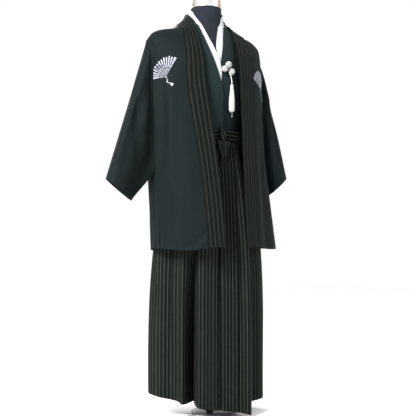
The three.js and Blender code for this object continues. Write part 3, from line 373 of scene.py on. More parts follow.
def wall_object(name, outer, inner, across, along, closed=False):
    """across holds, for each strip of faces, its left and right length; along one length a point."""
    rows, columns = outer.shape[:2]
    i, j = np.meshgrid(np.arange(rows - 1), np.arange(columns - 1), indexing="ij")

    def corner(layer, a, b):
        return layer * rows * columns + a * columns + b

    front = np.stack([corner(0, i, j), corner(0, i, j + 1), corner(0, i + 1, j + 1),
                      corner(0, i + 1, j)], axis=-1).reshape(-1, 4)
    back = front[:, ::-1] + rows * columns
    left, right = across
    u = np.stack([left[:-1], right[:-1], right[1:], left[1:]], axis=-1).reshape(-1, 4)
    v = np.stack([along[:-1, :-1], along[:-1, 1:], along[1:, 1:], along[1:, :-1]], -1).reshape(-1, 4)
    faces, us, vs = [front, back], [u, u[:, ::-1]], [v, v[:, ::-1]]

    def rim(a, b, place):
        quads = np.stack([a[:-1], b[:-1], b[1:], a[1:]], axis=-1)
        faces.append(quads)
        us.append(np.repeat(place[0][:, None], 4, axis=1))
        vs.append(np.repeat(place[1][:, None], 4, axis=1))

    r, c = np.arange(rows), np.arange(columns)
    rim(corner(1, 0, c), corner(0, 0, c), (left[0], along[0, 1:]))
    rim(corner(0, rows - 1, c), corner(1, rows - 1, c), (left[-1], along[-1, 1:]))
    if not closed:
        rim(corner(0, r, 0), corner(1, r, 0), (left[1:, 0], along[1:, 0]))
        rim(corner(1, r, columns - 1), corner(0, r, columns - 1), (right[1:, -1], along[1:, -1]))
    faces, us, vs = np.concatenate(faces), np.concatenate(us), np.concatenate(vs)
    points = np.concatenate([outer.reshape(-1, 3), inner.reshape(-1, 3)])
    if closed:
        stand_in = np.arange(len(points)).reshape(2, rows, columns)
        stand_in[:, :, -1] = stand_in[:, :, 0]
        faces = stand_in.reshape(-1)[faces]
    quad = points[front]
    outward = (outer - inner)[:-1, :-1].reshape(-1, 3)
    face_normal = np.cross(quad[:, 2] - quad[:, 0], quad[:, 3] - quad[:, 1])
    if (face_normal * outward).sum() < 0:
        faces, us, vs = faces[:, ::-1], us[:, ::-1], vs[:, ::-1]
    if closed:
        used, faces = np.unique(faces, return_inverse=True)
        points, faces = points[used], faces.reshape(-1, 4)
    made = new_object(name, points, faces)
    layer = made.data.uv_layers.new(name="cloth")
    layer.data.foreach_set("uv", np.stack([us, vs], axis=-1).astype(np.float32).ravel() * MM)
    made_of[name] = outer
    return made


def grid_lengths(outer):
    across = lengths(outer, 1)
    return (across[:, :-1], across[:, 1:]), lengths(outer, 0)


def declare(piece, material, nodes, tapers=False):
    """A cut of cloth. Its flat size is what its own grid measures, all round on a tube.

    A tapering tube fills little of the rectangle round it, so it gets its mean width all round.
    """
    dress(piece, material, nodes)
    outer = made_of[piece.name]
    across = lengths(outer, 1)[:, -1] * MM
    length = float(lengths(outer, 0)[-1].max()) * MM
    width = cloth_area(outer) / length if tapers else float(across.max())
    area = min(cloth_area(outer), width * length)
    print(piece.name, "cut", round(width, 3), "x", round(length, 3), "area", round(area, 3),
          "first and last row", round(float(across[0]), 3), round(float(across[-1]), 3))


def folded(outer, inner, folds):
    """Moves both faces by soft folds: (facing, x, z, to x, to z, width, height out)."""
    out = outer - inner
    out /= np.linalg.norm(out, axis=-1)[..., None]
    place = outer[..., [0, 2]]
    facing = np.clip((SIDE_LINE - outer[..., 1]) / SIDE_FADE, -1, 1)
    move = np.zeros(outer.shape[:2])
    for side, x0, z0, x1, z1, width, height in folds:
        start, way = np.array([x0, z0]), np.array([x1 - x0, z1 - z0], float)
        length = np.linalg.norm(way)
        way /= length
        share = (place - start) @ way / length
        off = np.abs((place - start) @ np.array([-way[1], way[0]]))
        fade = np.clip(1 - (2 * share - 1) ** 4, 0, 1) * np.clip(-side * facing, 0, 1)
        move += height * np.exp(-((off / width) ** 2)) * fade
    return outer + out * move[..., None], inner + out * move[..., None]


# %% [markdown]
# ## Materials as sums
# A shader is a sum of simple fields. `Shade` wraps one socket, so fields can be added and scaled
# like numbers, and `node` makes any other kind of node with its settings and its inputs.

# %% Shade: a shader socket that can be used in sums
class Shade:
    def __init__(self, tree, socket=None):
        self.tree = tree
        self.socket = socket

    def feed(self, socket, value):
        if isinstance(value, Shade):
            self.tree.links.new(value.socket, socket)
        else:
            socket.default_value = value

    def node(self, kind, settings=None, inputs=None, output=0):
        made = self.tree.nodes.new(kind)
        for name, value in (settings or {}).items():
            setattr(made, name, value)
        for name, value in (inputs or {}).items():
            self.feed(made.inputs[name], value)
        return Shade(self.tree, made.outputs[output])

    def math(self, operation, *values):
        return self.node("ShaderNodeMath", {"operation": operation}, dict(enumerate(values)))

    def of(self, operation):
        return self.math(operation, self)

    def __add__(self, other):
        return self.math("ADD", self, other)

    def __sub__(self, other):
        return self.math("SUBTRACT", self, other)

    def __rsub__(self, other):
        return self.math("SUBTRACT", other, self)

    def __mul__(self, other):
        return self.math("MULTIPLY", self, other)

    def __truediv__(self, other):
        return self.math("DIVIDE", self, other)

    __radd__ = __add__
    __rmul__ = __mul__

    def step(self, low, high):
        """0 below low, 1 above high, soft between."""
        return self.node("ShaderNodeMapRange", {"interpolation_type": "SMOOTHSTEP"},
                         {"Value": self, "From Min": low, "From Max": high})

    def wave(self, length):
        return self.math("SINE", self * (2 * math.pi / length))

    def mix(self, first, second):
        """Colour first where this is 0, second where it is 1."""
        return self.node("ShaderNodeMix", {"data_type": "RGBA"}, {0: self, 6: first, 7: second}, 2)

    def noise(self, vector, scale, detail=3.0):
        return self.node("ShaderNodeTexNoise", None,
                         {"Vector": vector, "Scale": scale, "Detail": detail})

    def bump(self, height, distance, strength=1.0):
        return self.node("ShaderNodeBump", None,
                         {"Height": height, "Distance": distance, "Strength": strength})


def new_material(name, **values):
    material = bpy.data.materials.new(name)
    material.use_nodes = True
    tree = material.node_tree
    shader = tree.nodes["Principled BSDF"]
    for socket, value in values.items():
        shader.inputs[socket.replace("_", " ")].default_value = value
    return material, Shade(tree), shader


def cloth_lengths(shade):
    """Across and along the cloth in metres, and both as one vector."""
    place = shade.node("ShaderNodeUVMap", {"uv_map": "cloth"})
    u = shade.node("ShaderNodeSeparateXYZ", None, {0: place}, 0)
    v = shade.node("ShaderNodeSeparateXYZ", None, {0: place}, 1)
    return u, v, place


def rgb(red, green, blue):
    return (red, green, blue, 1.0)


# %% [markdown]
# ## The cloths
# The coat and the kimono are a matt black silk with a fine plain weave, whose tone drifts a little
# along the thread. A row of hand stitches lies a finger's width inside each hem.

# %% Black silk
BLACK = (0.0027, 0.0051, 0.0052)
BLACK_LIGHT = (0.0050, 0.0086, 0.0087)
WEAVE = 0.0009
HEM_LINE = 0.019


def weave_height(u, v, pitch=WEAVE):
    return (u.wave(pitch) * v.wave(pitch)) * 0.5 + 0.5


def black_silk(name, painted_light_gain=1.0):
    material, shade, shader = new_material(name, Roughness=0.72, Sheen_Weight=0.008,
                                           Sheen_Roughness=0.5, Specular_IOR_Level=0.06)
    u, v, place = cloth_lengths(shade)
    drift = shade.noise(place, 9.0)
    thread = shade.noise(shade.node("ShaderNodeCombineXYZ", None, {0: u * 900, 1: v * 30}), 1.0, 2.0)
    hem = 1 - (v - HEM_LINE).of("ABSOLUTE").step(0.0004, 0.0016)
    tone = drift * 0.75 + thread * 0.25
    # The colours are scaled up here to paint in light on cloth that lies in shade.
    colour = tone.mix(rgb(*(c * painted_light_gain for c in BLACK)), rgb(*(c * painted_light_gain for c in BLACK_LIGHT)))
    colour = (hem * 0.45).mix(colour, rgb(0.003, 0.006, 0.006))
    shade.feed(shader.inputs["Base Color"], colour)
    crumple = shade.noise(place, 34.0, 2.0)
    height = weave_height(u, v) * 0.00008 + crumple * 0.0011 - hem * 0.0006
    shade.feed(shader.inputs["Normal"], shade.bump(height, 1.0, 0.55))
    return material


BLACK_SILK = black_silk("black_silk")
# The kimono's silk is painted 2.1 times lighter than the coat's: painted light that makes up for the shade
# the coat's fronts cast on it.
KIMONO_SILK = black_silk("kimono_silk", 2.1)

# %% [markdown]
# The trouser-skirt and the collar band of the coat are woven with light warp stripes. The stripe is
# a soft line every `pitch` metres across the cloth. It is broken by the weave, like real yarn.

# %% Striped silk
STRIPE_DARK = rgb(0.0018, 0.0029, 0.0025)
STRIPE_LIGHT = rgb(0.0235, 0.0280, 0.0205)
BAND_LIGHT = rgb(0.0165, 0.0200, 0.0145)
HAKAMA_PITCH = 0.0145
BAND_PITCH = 0.0162


def striped_silk(name, pitch, line, light=STRIPE_LIGHT):
    material, shade, shader = new_material(name, Roughness=0.68, Sheen_Weight=0.006,
                                           Sheen_Roughness=0.5, Specular_IOR_Level=0.05)
    u, v, place = cloth_lengths(shade)
    cycle = (u / pitch).of("FRACT")
    off = (cycle - 0.5).of("ABSOLUTE") * pitch
    stripe = 1 - off.step(line * 0.35, line * 1.05)
    yarn = shade.noise(shade.node("ShaderNodeCombineXYZ", None, {0: u * 1400, 1: v * 160}), 1.0, 2.0)
    worn = shade.noise(place, 14.0)
    strength = stripe * (yarn * 0.35 + worn * 0.55 + 0.35)
    dark = worn.mix(STRIPE_DARK, rgb(0.0030, 0.0046, 0.0040))
    shade.feed(shader.inputs["Base Color"], strength.mix(dark, light))
    height = weave_height(u, v) * 0.00008 + stripe * 0.00025 + shade.noise(place, 30.0, 2.0) * 0.0008
    shade.feed(shader.inputs["Normal"], shade.bump(height, 1.0, 0.6))
    return material


HAKAMA_SILK = striped_silk("striped_silk", HAKAMA_PITCH, 0.0027)
BAND_SILK = striped_silk("striped_band_silk", BAND_PITCH, 0.0025, BAND_LIGHT)

# %% [markdown]
# The half collar is smooth white silk, the tie is white yarn, and the fans are satin stitch, whose
# threads run along each blade. The form's cover is a fine navy jersey and its fittings are metal.

# %% White silk, yarn, stitching, jersey and metal
def white_cloth(name, base, shadow, weave, scale):
    material, shade, shader = new_material(name, Roughness=0.7, Sheen_Weight=0.05,
                                           Specular_IOR_Level=0.2)
    place = shade.node("ShaderNodeTexCoord", None, None, 3)
    grain = shade.noise(place, scale)
    shade.feed(shader.inputs["Base Color"], grain.step(0.35, 0.7).mix(shadow, base))
    shade.feed(shader.inputs["Normal"], shade.bump(grain, weave, 0.7))
    return material


WHITE_SILK = white_cloth("white_silk", rgb(0.46, 0.465, 0.475), rgb(0.39, 0.395, 0.41), 0.0004, 260.0)
WHITE_YARN = white_cloth("white_yarn", rgb(0.64, 0.64, 0.62), rgb(0.34, 0.345, 0.34), 0.0012, 420.0)
STITCH = white_cloth("white_stitching", rgb(0.34, 0.345, 0.39), rgb(0.23, 0.235, 0.29), 0.0006, 900.0)


def navy_jersey():
    material, shade, shader = new_material("navy_jersey", Roughness=0.9, Sheen_Weight=0.03,
                                           Specular_IOR_Level=0.1)
    place = shade.node("ShaderNodeTexCoord", None, None, 3)
    x = shade.node("ShaderNodeSeparateXYZ", None, {0: place}, 0)
    z = shade.node("ShaderNodeSeparateXYZ", None, {0: place}, 2)
    knit = x.wave(0.0024) * z.wave(0.0017)
    tone = shade.noise(place, 120.0) * 0.6 + knit * 0.2 + 0.2
    shade.feed(shader.inputs["Base Color"],
               tone.mix(rgb(0.0070, 0.0090, 0.0133), rgb(0.0140, 0.0173, 0.0250)))
    shade.feed(shader.inputs["Normal"], shade.bump(knit, 0.0003, 0.5))
    return material


def polished_metal():
    material, shade, shader = new_material("polished_metal", Metallic=1.0, Roughness=0.22)
    place = shade.node("ShaderNodeTexCoord", None, None, 3)
    x = shade.node("ShaderNodeSeparateXYZ", None, {0: place}, 0)
    y = shade.node("ShaderNodeSeparateXYZ", None, {0: place}, 1)
    # Painted reflection: across is the sideways distance seen from the camera, so the middle of the cap
    # that faces the camera is painted pale silver and its sides brass-toned.
    across = x * 0.8192 - y * 0.5736
    painted_reflection_split = across.of("ABSOLUTE").step(0.034, 0.056)
    brushed = shade.noise(shade.node("ShaderNodeCombineXYZ", None, {0: x * 20, 1: y * 20, 2: x}), 8.0)
    colour = painted_reflection_split.mix(rgb(0.8, 0.8, 0.79), rgb(0.46, 0.35, 0.22))
    shade.feed(shader.inputs["Base Color"], colour)
    shade.feed(shader.inputs["Roughness"], brushed * 0.16 + 0.16)
    return material


def dark_metal():
    material, shade, shader = new_material("dark_metal", Metallic=1.0)
    place = shade.node("ShaderNodeTexCoord", None, None, 3)
    worn = shade.noise(place, 60.0)
    shade.feed(shader.inputs["Base Color"], worn.mix(rgb(0.10, 0.105, 0.11), rgb(0.22, 0.225, 0.23)))
    shade.feed(shader.inputs["Roughness"], worn * 0.2 + 0.3)
    return material


NAVY_JERSEY = navy_jersey()
POLISHED_METAL = polished_metal()
DARK_METAL = dark_metal()
dress(cord, WHITE_YARN, ["tie_cord"])

# %% [markdown]
# ## Dress form
# The form has no limbs. It is a padded body with a long neck, a metal cap on the neck, and a pole
# that stands in a round plate. It is hidden below the clothes but for the neck and the cap. The
# fittings are turned parts, so a profile is swept round an axis.

# %% Dress form
FORM_INSET = {"share": 0.985, "below": 1456, "drop": 3.5, "from": 1380}
FORM_BOTTOM = 800
FORM_TOP = 1557


def ring_solid(name, rings, material, nodes):
    rings = np.asarray(rings)
    made = new_object(name, rings.reshape(-1, 3), ring_faces(*rings.shape[:2]))
    return dress(made, material, nodes)


def form_ring(z, shrink=None):
    share = shrink or (FORM_INSET["share"] if z < FORM_INSET["below"] else 1)
    part = FORM.section(z if z < FORM_INSET["from"] else z + FORM_INSET["drop"])
    ring = []
    for k in range(96):
        turn = 2 * math.pi * k / 96
        depth = part["mid"] - part["front"] if math.sin(turn) < 0 else part["back"] - part["mid"]
        ring.append(xyz(share * part["half"] * math.cos(turn),
                        part["mid"] + share * depth * math.sin(turn), z))
    return ring


def lathe(profile, centre, segments=64):
    turn = 2 * math.pi * np.arange(segments) / segments
    x, y = centre
    return [np.stack([x + r * np.cos(turn), y + r * np.sin(turn), np.full(segments, z)], axis=1)
            for r, z in profile]


form_heights = [FORM_BOTTOM, *range(820, 1380, 20), *range(1380, 1520, 3), *range(1520, FORM_TOP, 8)]
form_heights.append(FORM_TOP)
form_rings = [form_ring(FORM_BOTTOM - 12, 0.9)] + [form_ring(z) for z in form_heights]
form_rings.append([p * [0.985, 0.985, 1] + [0, 0, 0.2] for p in form_rings[-1]])
ring_solid("form_body_cover", form_rings, NAVY_JERSEY, ["form_body"])
cap_base = FORM_TOP + SEAM
cap = [(54, 0), (56, 0.3), (57, 1.4), (57, 4), (56.4, 4.8), (56.4, 5.6), (57, 6.4), (57, 30),
       (56.2, 32.4), (54, 34), (46, 36), (34, 38.2), (18, 39.6), (2, 40)]
ring_solid("form_neck_cap_turned", lathe([(r, cap_base + z) for r, z in cap], (0, 0)), POLISHED_METAL,
           ["form_neck_cap"])
ring_solid("form_pole_turned", lathe([(13.4, 8.3), (14, 9), (14, 787), (13.4, 787.7)], (16, 0)),
           DARK_METAL, ["form_pole"])
plate = [(87, 0), (88, 0.8), (88, 6), (86.6, 7.6), (84, 8), (20, 8)]
ring_solid("form_base_turned", lathe(plate, (45, 10)), DARK_METAL, ["form_base"])
print("form rings:", len(form_rings))

# %% [markdown]
# ## A body panel
# A kimono or coat panel is one long strip of narrow silk. It runs from the front hem up over the
# shoulder and down to the back hem, so it has no shoulder seam. Each station is one row of points:
# its inner end follows the neck edge, its outer end the armhole.

# %% Panel grid
SHOULDER_TIP = 1408
UNDERARM = 1300
HAORI_HEM = 630
HAORI_TOP = 1472
BAND_AT_RIDGE = 132
GUSSET_HALF = 33
ARMHOLE_BOTTOM_ROW = 0.35
PANEL_ROWS = [0, 0.09, 0.18, 0.27, 0.35, 0.44, 0.54, 0.64, 0.74, 0.83, 0.9, 0.945, 0.975, 0.992]
PANEL_COLUMNS = [0, 0.13, 0.27, 0.42, 0.57, 0.72, 0.86, 1]
BACK_NECK = [(0.994, 98), (0.986, 56), (0.976, SEAM / 2)]
BAND_RIGHT = Table("z free seam", (630, -40, -97), (793, -47, -106), (992, -65, -126), (1104, -77, -141),
                   (1218, -91, -154), (1300, -94, -156), (1368, -92, -151), (1430, -90, -143),
                   (1470, -88, -134))
BAND_LEFT = Table("z free seam", (630, 58, 116), (912, 56, 117), (1056, 57, 118), (1144, 56, 119),
                  (1304, 61, 126), (1400, 73, 132), (1448, 76, 134), (1470, 80, 134))


def panel_stations(rows, back_neck):
    front = [(f, -1, None) for f in rows]
    back = [(f, 1, SEAM / 2) for f in rows[::-1][2:]]
    return front + [(1, 0, None)] + [(f, 1, x) for f, x in back_neck] + back


def side_edge(section_at, z, side, facing, opening):
    part = section_at(z)
    half = part["right"] if side < 0 else part["left"]
    depth = part["back"] - part["mid"] if facing > 0 else part["mid"] - part["front"]
    power = part["power"] if facing < 0 and side > 0 else 2
    return half * (1 - min(opening / depth, 1) ** power) ** (1 / power)


def body_panel(side, section_at, hem, top, stations, columns, front_edge, ridge_neck, opening,
               lift=lambda f, facing: 0):
    tip = section_at(SHOULDER_TIP)
    outermost = (tip["right"] if side < 0 else tip["left"]) - 1
    grid = []
    for f, facing, neck in stations:
        height = hem + (top - hem) * f
        inner = front_edge(height) if facing < 0 else side * (ridge_neck if facing == 0 else neck)
        edge = side_edge(section_at, min(height, SHOULDER_TIP), side, facing, opening(f))
        reach = min(edge, outermost) if height > UNDERARM else edge
        outer = side * (outermost if facing == 0 else reach)
        row = []
        for s in columns:
            x = inner + (outer - inner) * s
            ridge = ridge_height(section_at, side * max(side * x, NECK_HALF))
            z = hem + (ridge - hem) * f
            if facing == 0:
                row.append(xyz(x, section_at(z)["mid"], z))
            else:
                row.append(surface_point(section_at, x, z, facing, lift(f, facing)))
        grid.append(row)
    return np.array(grid)


HAORI_STATIONS = panel_stations(PANEL_ROWS, BACK_NECK)


def haori_opening(f):
    return GUSSET_HALF * (math.sqrt(max(1 - ((f - 0.86) / 0.14) ** 2, 0)) if f > 0.86 else 1)


def band_edge(side, column, z):
    return (BAND_RIGHT if side < 0 else BAND_LEFT).value(column, z)


def haori_panel(side):
    return body_panel(side, haori_section, HAORI_HEM, HAORI_TOP, HAORI_STATIONS, PANEL_COLUMNS,
                      lambda z: band_edge(side, "seam", z), BAND_AT_RIDGE, haori_opening)


print("stations of a coat panel:", len(HAORI_STATIONS))

# %% [markdown]
# ## Coat bodies
# Silk hangs from the shoulder in a few long, soft folds, and the hem dips where the cloth is full.
# Each fold is a line on the front or the back, with its width and how far it stands out or in.

# %% Coat bodies
PITCH = 6.0
HAORI_FOLDS = {
    "right": [
        (-1, -258, 1440, -262, 930, 9, -8), (-1, -236, 1300, -231, 915, 12, -11),
        (-1, -212, 1290, -206, 900, 14, 4),
        (-1, -216, 880, -208, 560, 12, -8), (-1, -190, 860, -186, 560, 16, 5),
        (-1, -160, 640, -92, 706, 9, -4), (-1, -150, 618, -96, 676, 9, 4),
        (-1, -176, 1120, -150, 700, 26, 3.5), (1, -205, 1240, -196, 820, 12, -8),
        (1, -150, 1180, -146, 560, 22, 5), (1, -92, 1220, -90, 560, 20, -5),
        (1, -45, 1050, -46, 560, 22, 5), (1, -196, 800, -176, 560, 14, 5)],
    "left": [
        (-1, 257, 1440, 262, 950, 9, -7), (-1, 228, 1180, 230, 930, 12, -8),
        (-1, 200, 1160, 206, 880, 15, 4),
        (-1, 178, 1000, 206, 560, 18, -6), (-1, 226, 900, 262, 560, 20, 5),
        (-1, 146, 1100, 150, 600, 14, 3), (1, 205, 1240, 198, 820, 12, -8),
        (1, 150, 1180, 154, 560, 22, 5), (1, 92, 1220, 96, 560, 20, -6),
        (1, 45, 1050, 46, 560, 22, 5), (1, 200, 820, 216, 560, 16, 6)],
}
HEM_DIPS = [(-165, 40, 7.0), (-235, 24, -3.0), (-70, 40, -4.0), (110, 46, -4.0), (250, 60, 3.0)]
HEM_REACH = 90.0


def hem_dipped(grid):
    """The lowest hand's breadth hangs a few millimetres lower where the cloth is full."""
    grid = grid.copy()
    share = np.clip(1 - (grid[..., 2] - HAORI_HEM) / HEM_REACH, 0, 1)
    for x, width, drop in HEM_DIPS:
        grid[..., 2] -= drop * share * np.exp(-(((grid[..., 0] - x) / width) ** 2))
    return grid


def seam_normals(side, at_front, armhole):
    towards = -1 if at_front else 1
    return xyz(0, towards, 0) if armhole else xyz(side * 0.6, towards * 0.8, 0)


def panel_faces(side, outer, stations, last_normal):
    normals = grid_normals(outer) * (-1 if side < 0 else 1)
    for i, (f, facing, _) in enumerate(stations):
        normals[i, -1] = last_normal(f, facing)
    inner = outer - normals * CLOTH
    trim_column(outer, True)
    trim_column(inner, True)
    return outer, inner


def hem_distance(outer):
    along = lengths(outer, 0)
    return np.minimum(along, along[-1] - along)


def add_haori_body(side, name):
    def last_normal(f, facing):
        if facing == 0:
            return xyz(0, 0, 1)
        return seam_normals(side, facing < 0, f > ARMHOLE_BOTTOM_ROW)

    outer, inner = panel_faces(side, haori_panel(side), HAORI_STATIONS, last_normal)
    outer, inner = refined(outer, inner, PITCH)
    outer, inner = folded(outer, inner, HAORI_FOLDS[name])
    outer, inner = hem_dipped(outer), hem_dipped(inner)
    across, _ = grid_lengths(outer)
    return wall_object(f"haori_body_{name}_silk", outer, inner, across, hem_distance(outer))


haori_bodies = {name: add_haori_body(side, name) for side, name in ((-1, "right"), (1, "left"))}

# %% [markdown]
# ## Gussets and sleeves
# A gusset fills the side of the coat below the sleeve. A sleeve is one rectangle, folded at its top
# edge. It starts at the armhole and hangs down to the cuff, so its rings turn from the armhole's
# line to a narrow oval. Soft lengthwise folds run down it, and a few slack ones cross it.

# %% Gussets and sleeves
SLEEVE_FOOT = 7
SLEEVE_RINGS = [0, 0.08, 0.2, 0.34, 0.5, 0.66, 0.82, 1]
SLEEVE_SWAY = {"depth": 6, "waves": 5}
SLEEVES = {
    "right": {"cuff": (-378, 12, 843), "half_across": 54, "half_up": 38, "deep": (46, 78)},
    "left": {"cuff": (359, 10, 880), "half_across": 47, "half_up": 37, "deep": (44, 78)},
}
SLEEVE_FOLDS = {
    "right": [(-1, -260, 1440, -264, 930, 9, -8), (-1, -322, 1250, -338, 930, 18, -7),
              (-1, -290, 1200, -300, 950, 15, 5),
              (-1, -272, 1080, -330, 1010, 14, -4), (-1, -275, 1010, -340, 900, 12, 3.5),
              (1, -312, 1240, -340, 920, 20, -7), (1, -285, 1100, -330, 960, 14, 5)],
    "left": [(-1, 259, 1440, 262, 950, 9, -7), (-1, 300, 1230, 316, 960, 16, -6),
             (-1, 274, 1130, 318, 1000, 14, 4), (1, 305, 1240, 322, 950, 18, -7),
             (1, 280, 1120, 316, 990, 14, 5)],
}


def add_gusset(side, name):
    panel = haori_panel(side)
    count = sum(1 for f, facing, _ in HAORI_STATIONS if facing < 0 and f <= ARMHOLE_BOTTOM_ROW)
    outer, normals = [], []
    for i in range(count):
        front, back = panel[i, -1], panel[-1 - i, -1]
        middle = (front + back) / 2 + [side * 4, 0, 0]
        outer.append([front, (front + middle) / 2, middle, (back + middle) / 2, back])
        across = xyz(side, 0, 0)
        normals.append([seam_normals(side, True, False), across, across, across,
                        seam_normals(side, False, False)])
    outer, normals = np.array(outer), np.array(normals)
    inner = outer - normals * CLOTH
    for grid in (outer, inner):
        trim_column(grid, False)
        trim_column(grid, True)
    outer, inner = refined(outer, inner, PITCH)
    outer, inner = hem_dipped(outer), hem_dipped(inner)
    across, along = grid_lengths(outer)
    return wall_object(f"haori_gusset_{name}_silk", outer, inner, across, along)


def sleeve_grids(side, name):
    panel, cuff = haori_panel(side), SLEEVES[name]
    armhole = [panel[i, -1].copy() for i, (f, _, _) in enumerate(HAORI_STATIONS)
               if f >= ARMHOLE_BOTTOM_ROW]
    lowest = (armhole[0] + armhole[-1]) / 2 + [0, 0, SLEEVE_FOOT]
    armhole = np.array(armhole + [lowest]) + [side * (SEAM + 0.3), 0, 0]
    count = len(armhole)
    ridge = sum(1 for f, facing, _ in HAORI_STATIONS if facing < 0 and f >= ARMHOLE_BOTTOM_ROW)
    cx, cy, cz = cuff["cuff"]
    ring = []
    for j in range(count):
        turn = (ridge - j) / (ridge + 1 if j < ridge else count - 1 - ridge) * math.pi
        bend = 0 if j == count - 1 else math.sin(turn)
        ring.append(xyz(cx + side * cuff["half_across"] * math.cos(turn) - cuff["deep"][0] * bend,
                        cy - cuff["deep"][1] * bend, cz + cuff["half_up"] * math.cos(turn)))
    ring = np.array(ring)
    sway = np.sin(np.arange(count) / (count - 1) * math.pi * 2 * SLEEVE_SWAY["waves"])
    sway[[ridge, count - 1]] = 0
    outer = []
    for t in SLEEVE_RINGS:
        row = armhole + (ring - armhole) * t**1.1
        row[:, 1] += SLEEVE_SWAY["depth"] * sway * 4 * t * (1 - t)
        outer.append(row)
    outer = np.array(outer)
    normals = grid_normals(outer, True)
    middle = outer[4].mean(axis=0)
    if normals[4, ridge] @ (outer[4, ridge] - middle) < 0:
        normals = -normals
    normals[0] = [xyz(0, -1 if j < ridge else 1, 0) for j in range(count)]
    normals[0, ridge], normals[0, -1] = xyz(0, 0, 1), xyz(0, 0, -1)
    return outer, outer - normals * CLOTH


def add_sleeve(side, name):
    outer, inner = refined(*sleeve_grids(side, name), PITCH, wrap=True)
    outer, inner = folded(outer, inner, SLEEVE_FOLDS[name])
    across, along = grid_lengths(outer)
    return wall_object(f"haori_sleeve_{name}_silk", outer, inner, across, along[-1] - along, closed=True)


haori_sleeves = {}
haori_gussets = {}
for side, name in ((-1, "right"), (1, "left")):
    haori_gussets[name] = add_gusset(side, name)
    haori_sleeves[name] = add_sleeve(side, name)
for name in ("right", "left"):
    declare(haori_bodies[name], BLACK_SILK, [f"haori_body_{name}"])
    declare(haori_gussets[name], BLACK_SILK, [f"haori_gusset_{name}"])
    declare(haori_sleeves[name], BLACK_SILK, [f"haori_sleeve_{name}"], tapers=True)

# %% [markdown]
# ## Collar band of the coat
# The band is one long strip, folded lengthwise. It runs from one front hem up round the back of the
# neck and down to the other hem, and lies just on top of the panels.

# %% Collar band
BAND_OVERLAP = 5
BAND_LIFT = (3, 4.6)
BAND_COLUMNS = [0, 0.34, 0.68, 1]
BAND_TURN_ROW = 0.996
BAND_NECK_LIFT = 5
BAND_NECK = [(-24, 1492, 0), (2, 1515, 0), (34, 1536, -4), (62, 1542, -4), (90, 1544, -4)]


def band_rows(side):
    def place(x, f, way):
        ridge = ridge_height(haori_section, side * max(side * x, NECK_HALF))
        z = HAORI_HEM + (ridge - HAORI_HEM) * f
        if way == 0:
            return xyz(x, haori_section(z)["mid"], z)
        return surface_point(haori_section, x, z, way)

    rows = []
    for f in PANEL_ROWS:
        height = HAORI_HEM + (HAORI_TOP - HAORI_HEM) * f
        seam = band_edge(side, "seam", height) + side * BAND_OVERLAP
        free = band_edge(side, "free", height)
        rows.append([place(seam + (free - seam) * t, f, -1) for t in BAND_COLUMNS])
    lows = [place(side * (BAND_AT_RIDGE + BAND_OVERLAP), BAND_TURN_ROW, -1),
            place(side * (BAND_AT_RIDGE + BAND_OVERLAP), 1, 0)]
    lows += [place(side * x, f, 1) for f, x in BACK_NECK]
    for low, (turn, z, dip) in zip(lows, BAND_NECK):
        high = collar_point(side, turn, z, BAND_NECK_LIFT)
        rows.append([low + (high - low) * t + [0, 0, dip * t * (1 - t) * 4] for t in BAND_COLUMNS])
    return rows


def strip_faces(rows, low, high):
    rows = np.array(rows)
    normals = grid_normals(rows)
    if normals[3, 1, 1] > 0:
        normals = -normals
    return rows + normals * high, rows + normals * low


band_all = band_rows(-1) + band_rows(1)[::-1][1:]
outer, inner = strip_faces(band_all, *BAND_LIFT)
outer, inner = refined(outer, inner, 4.0)
outer, inner = hem_dipped(outer), hem_dipped(inner)
share = lengths(outer, 1) / lengths(outer, 1)[:, -1:]
across = share * BAND_PITCH / MM * 4
haori_band = wall_object("haori_collar_silk", outer, inner, (across[:, :-1], across[:, 1:]),
                         hem_distance(outer))
declare(haori_band, BAND_SILK, ["haori_collar"])

# %% [markdown]
# ## Kimono and its collars
# The kimono closes right over left and is drawn up below the trouser-skirt. Only its upper fronts,
# its collar and the white half collar show. The collars stand on one common surface round the neck.

# %% Kimono
KIMONO_HEM = 720
KIMONO_TOP = 1476
COLLAR_AT_RIDGE = 108
OVERLAP_LIFT = 6.2
OVERLAP_FADE = 0.12
KIMONO_SIDE_GAP = 0.4
KIMONO_ROWS = [0, 0.16, 0.32, 0.44, 0.5, 0.56, 0.63, 0.7, 0.76, 0.82, 0.88, 0.93, 0.965, 0.985]
KIMONO_COLUMNS = [0, 0.22, 0.43, 0.61, 0.76, 0.875, 0.955, 1]
KIMONO_STATIONS = panel_stations(KIMONO_ROWS, [(0.994, 74), (0.986, 36), (0.976, SEAM / 2)])
KIMONO_COLLAR = {
    -1: Table("z free seam", (1050, 14, -44), (1109, 2, -56), (1174, -3, -60), (1218, -8, -64),
              (1255, -20, -74), (1376, -54, -100), (1440, -66, -108), (1478, -73, -110)),
    1: Table("z free seam", (1050, -52, 4), (1174, -38, 20), (1255, -24, 36), (1317, -10, 50),
             (1385, 17, 74), (1440, 36, 90), (1478, 46, 106)),
}
COLLAR_NECK = {
    -1: [(-36, 1470, -47, 1478), (-24, 1475, -34, 1490), (-10, 1478, -18, 1505), (8, 1481, 9, 1525)],
    1: [(-44, 1469, -64, 1478), (-28, 1474, -52, 1490), (-12, 1478, -30, 1507), (6, 1481, 0, 1525)],
    0: [(34, 1487, 34, 1540), (62, 1485, 62, 1546), (90, 1482, 90, 1548)],
}
HALF_COLLAR = {
    -1: Table("z free seam", (1250, -14, -22), (1310, -12, -44), (1376, -28, -62), (1440, -46, -76),
              (1468, -56, -84)),
    1: Table("z free seam", (1300, -22, 6), (1350, -16, 18), (1385, -11, 26), (1440, 11, 46),
             (1468, 20, 58)),
}
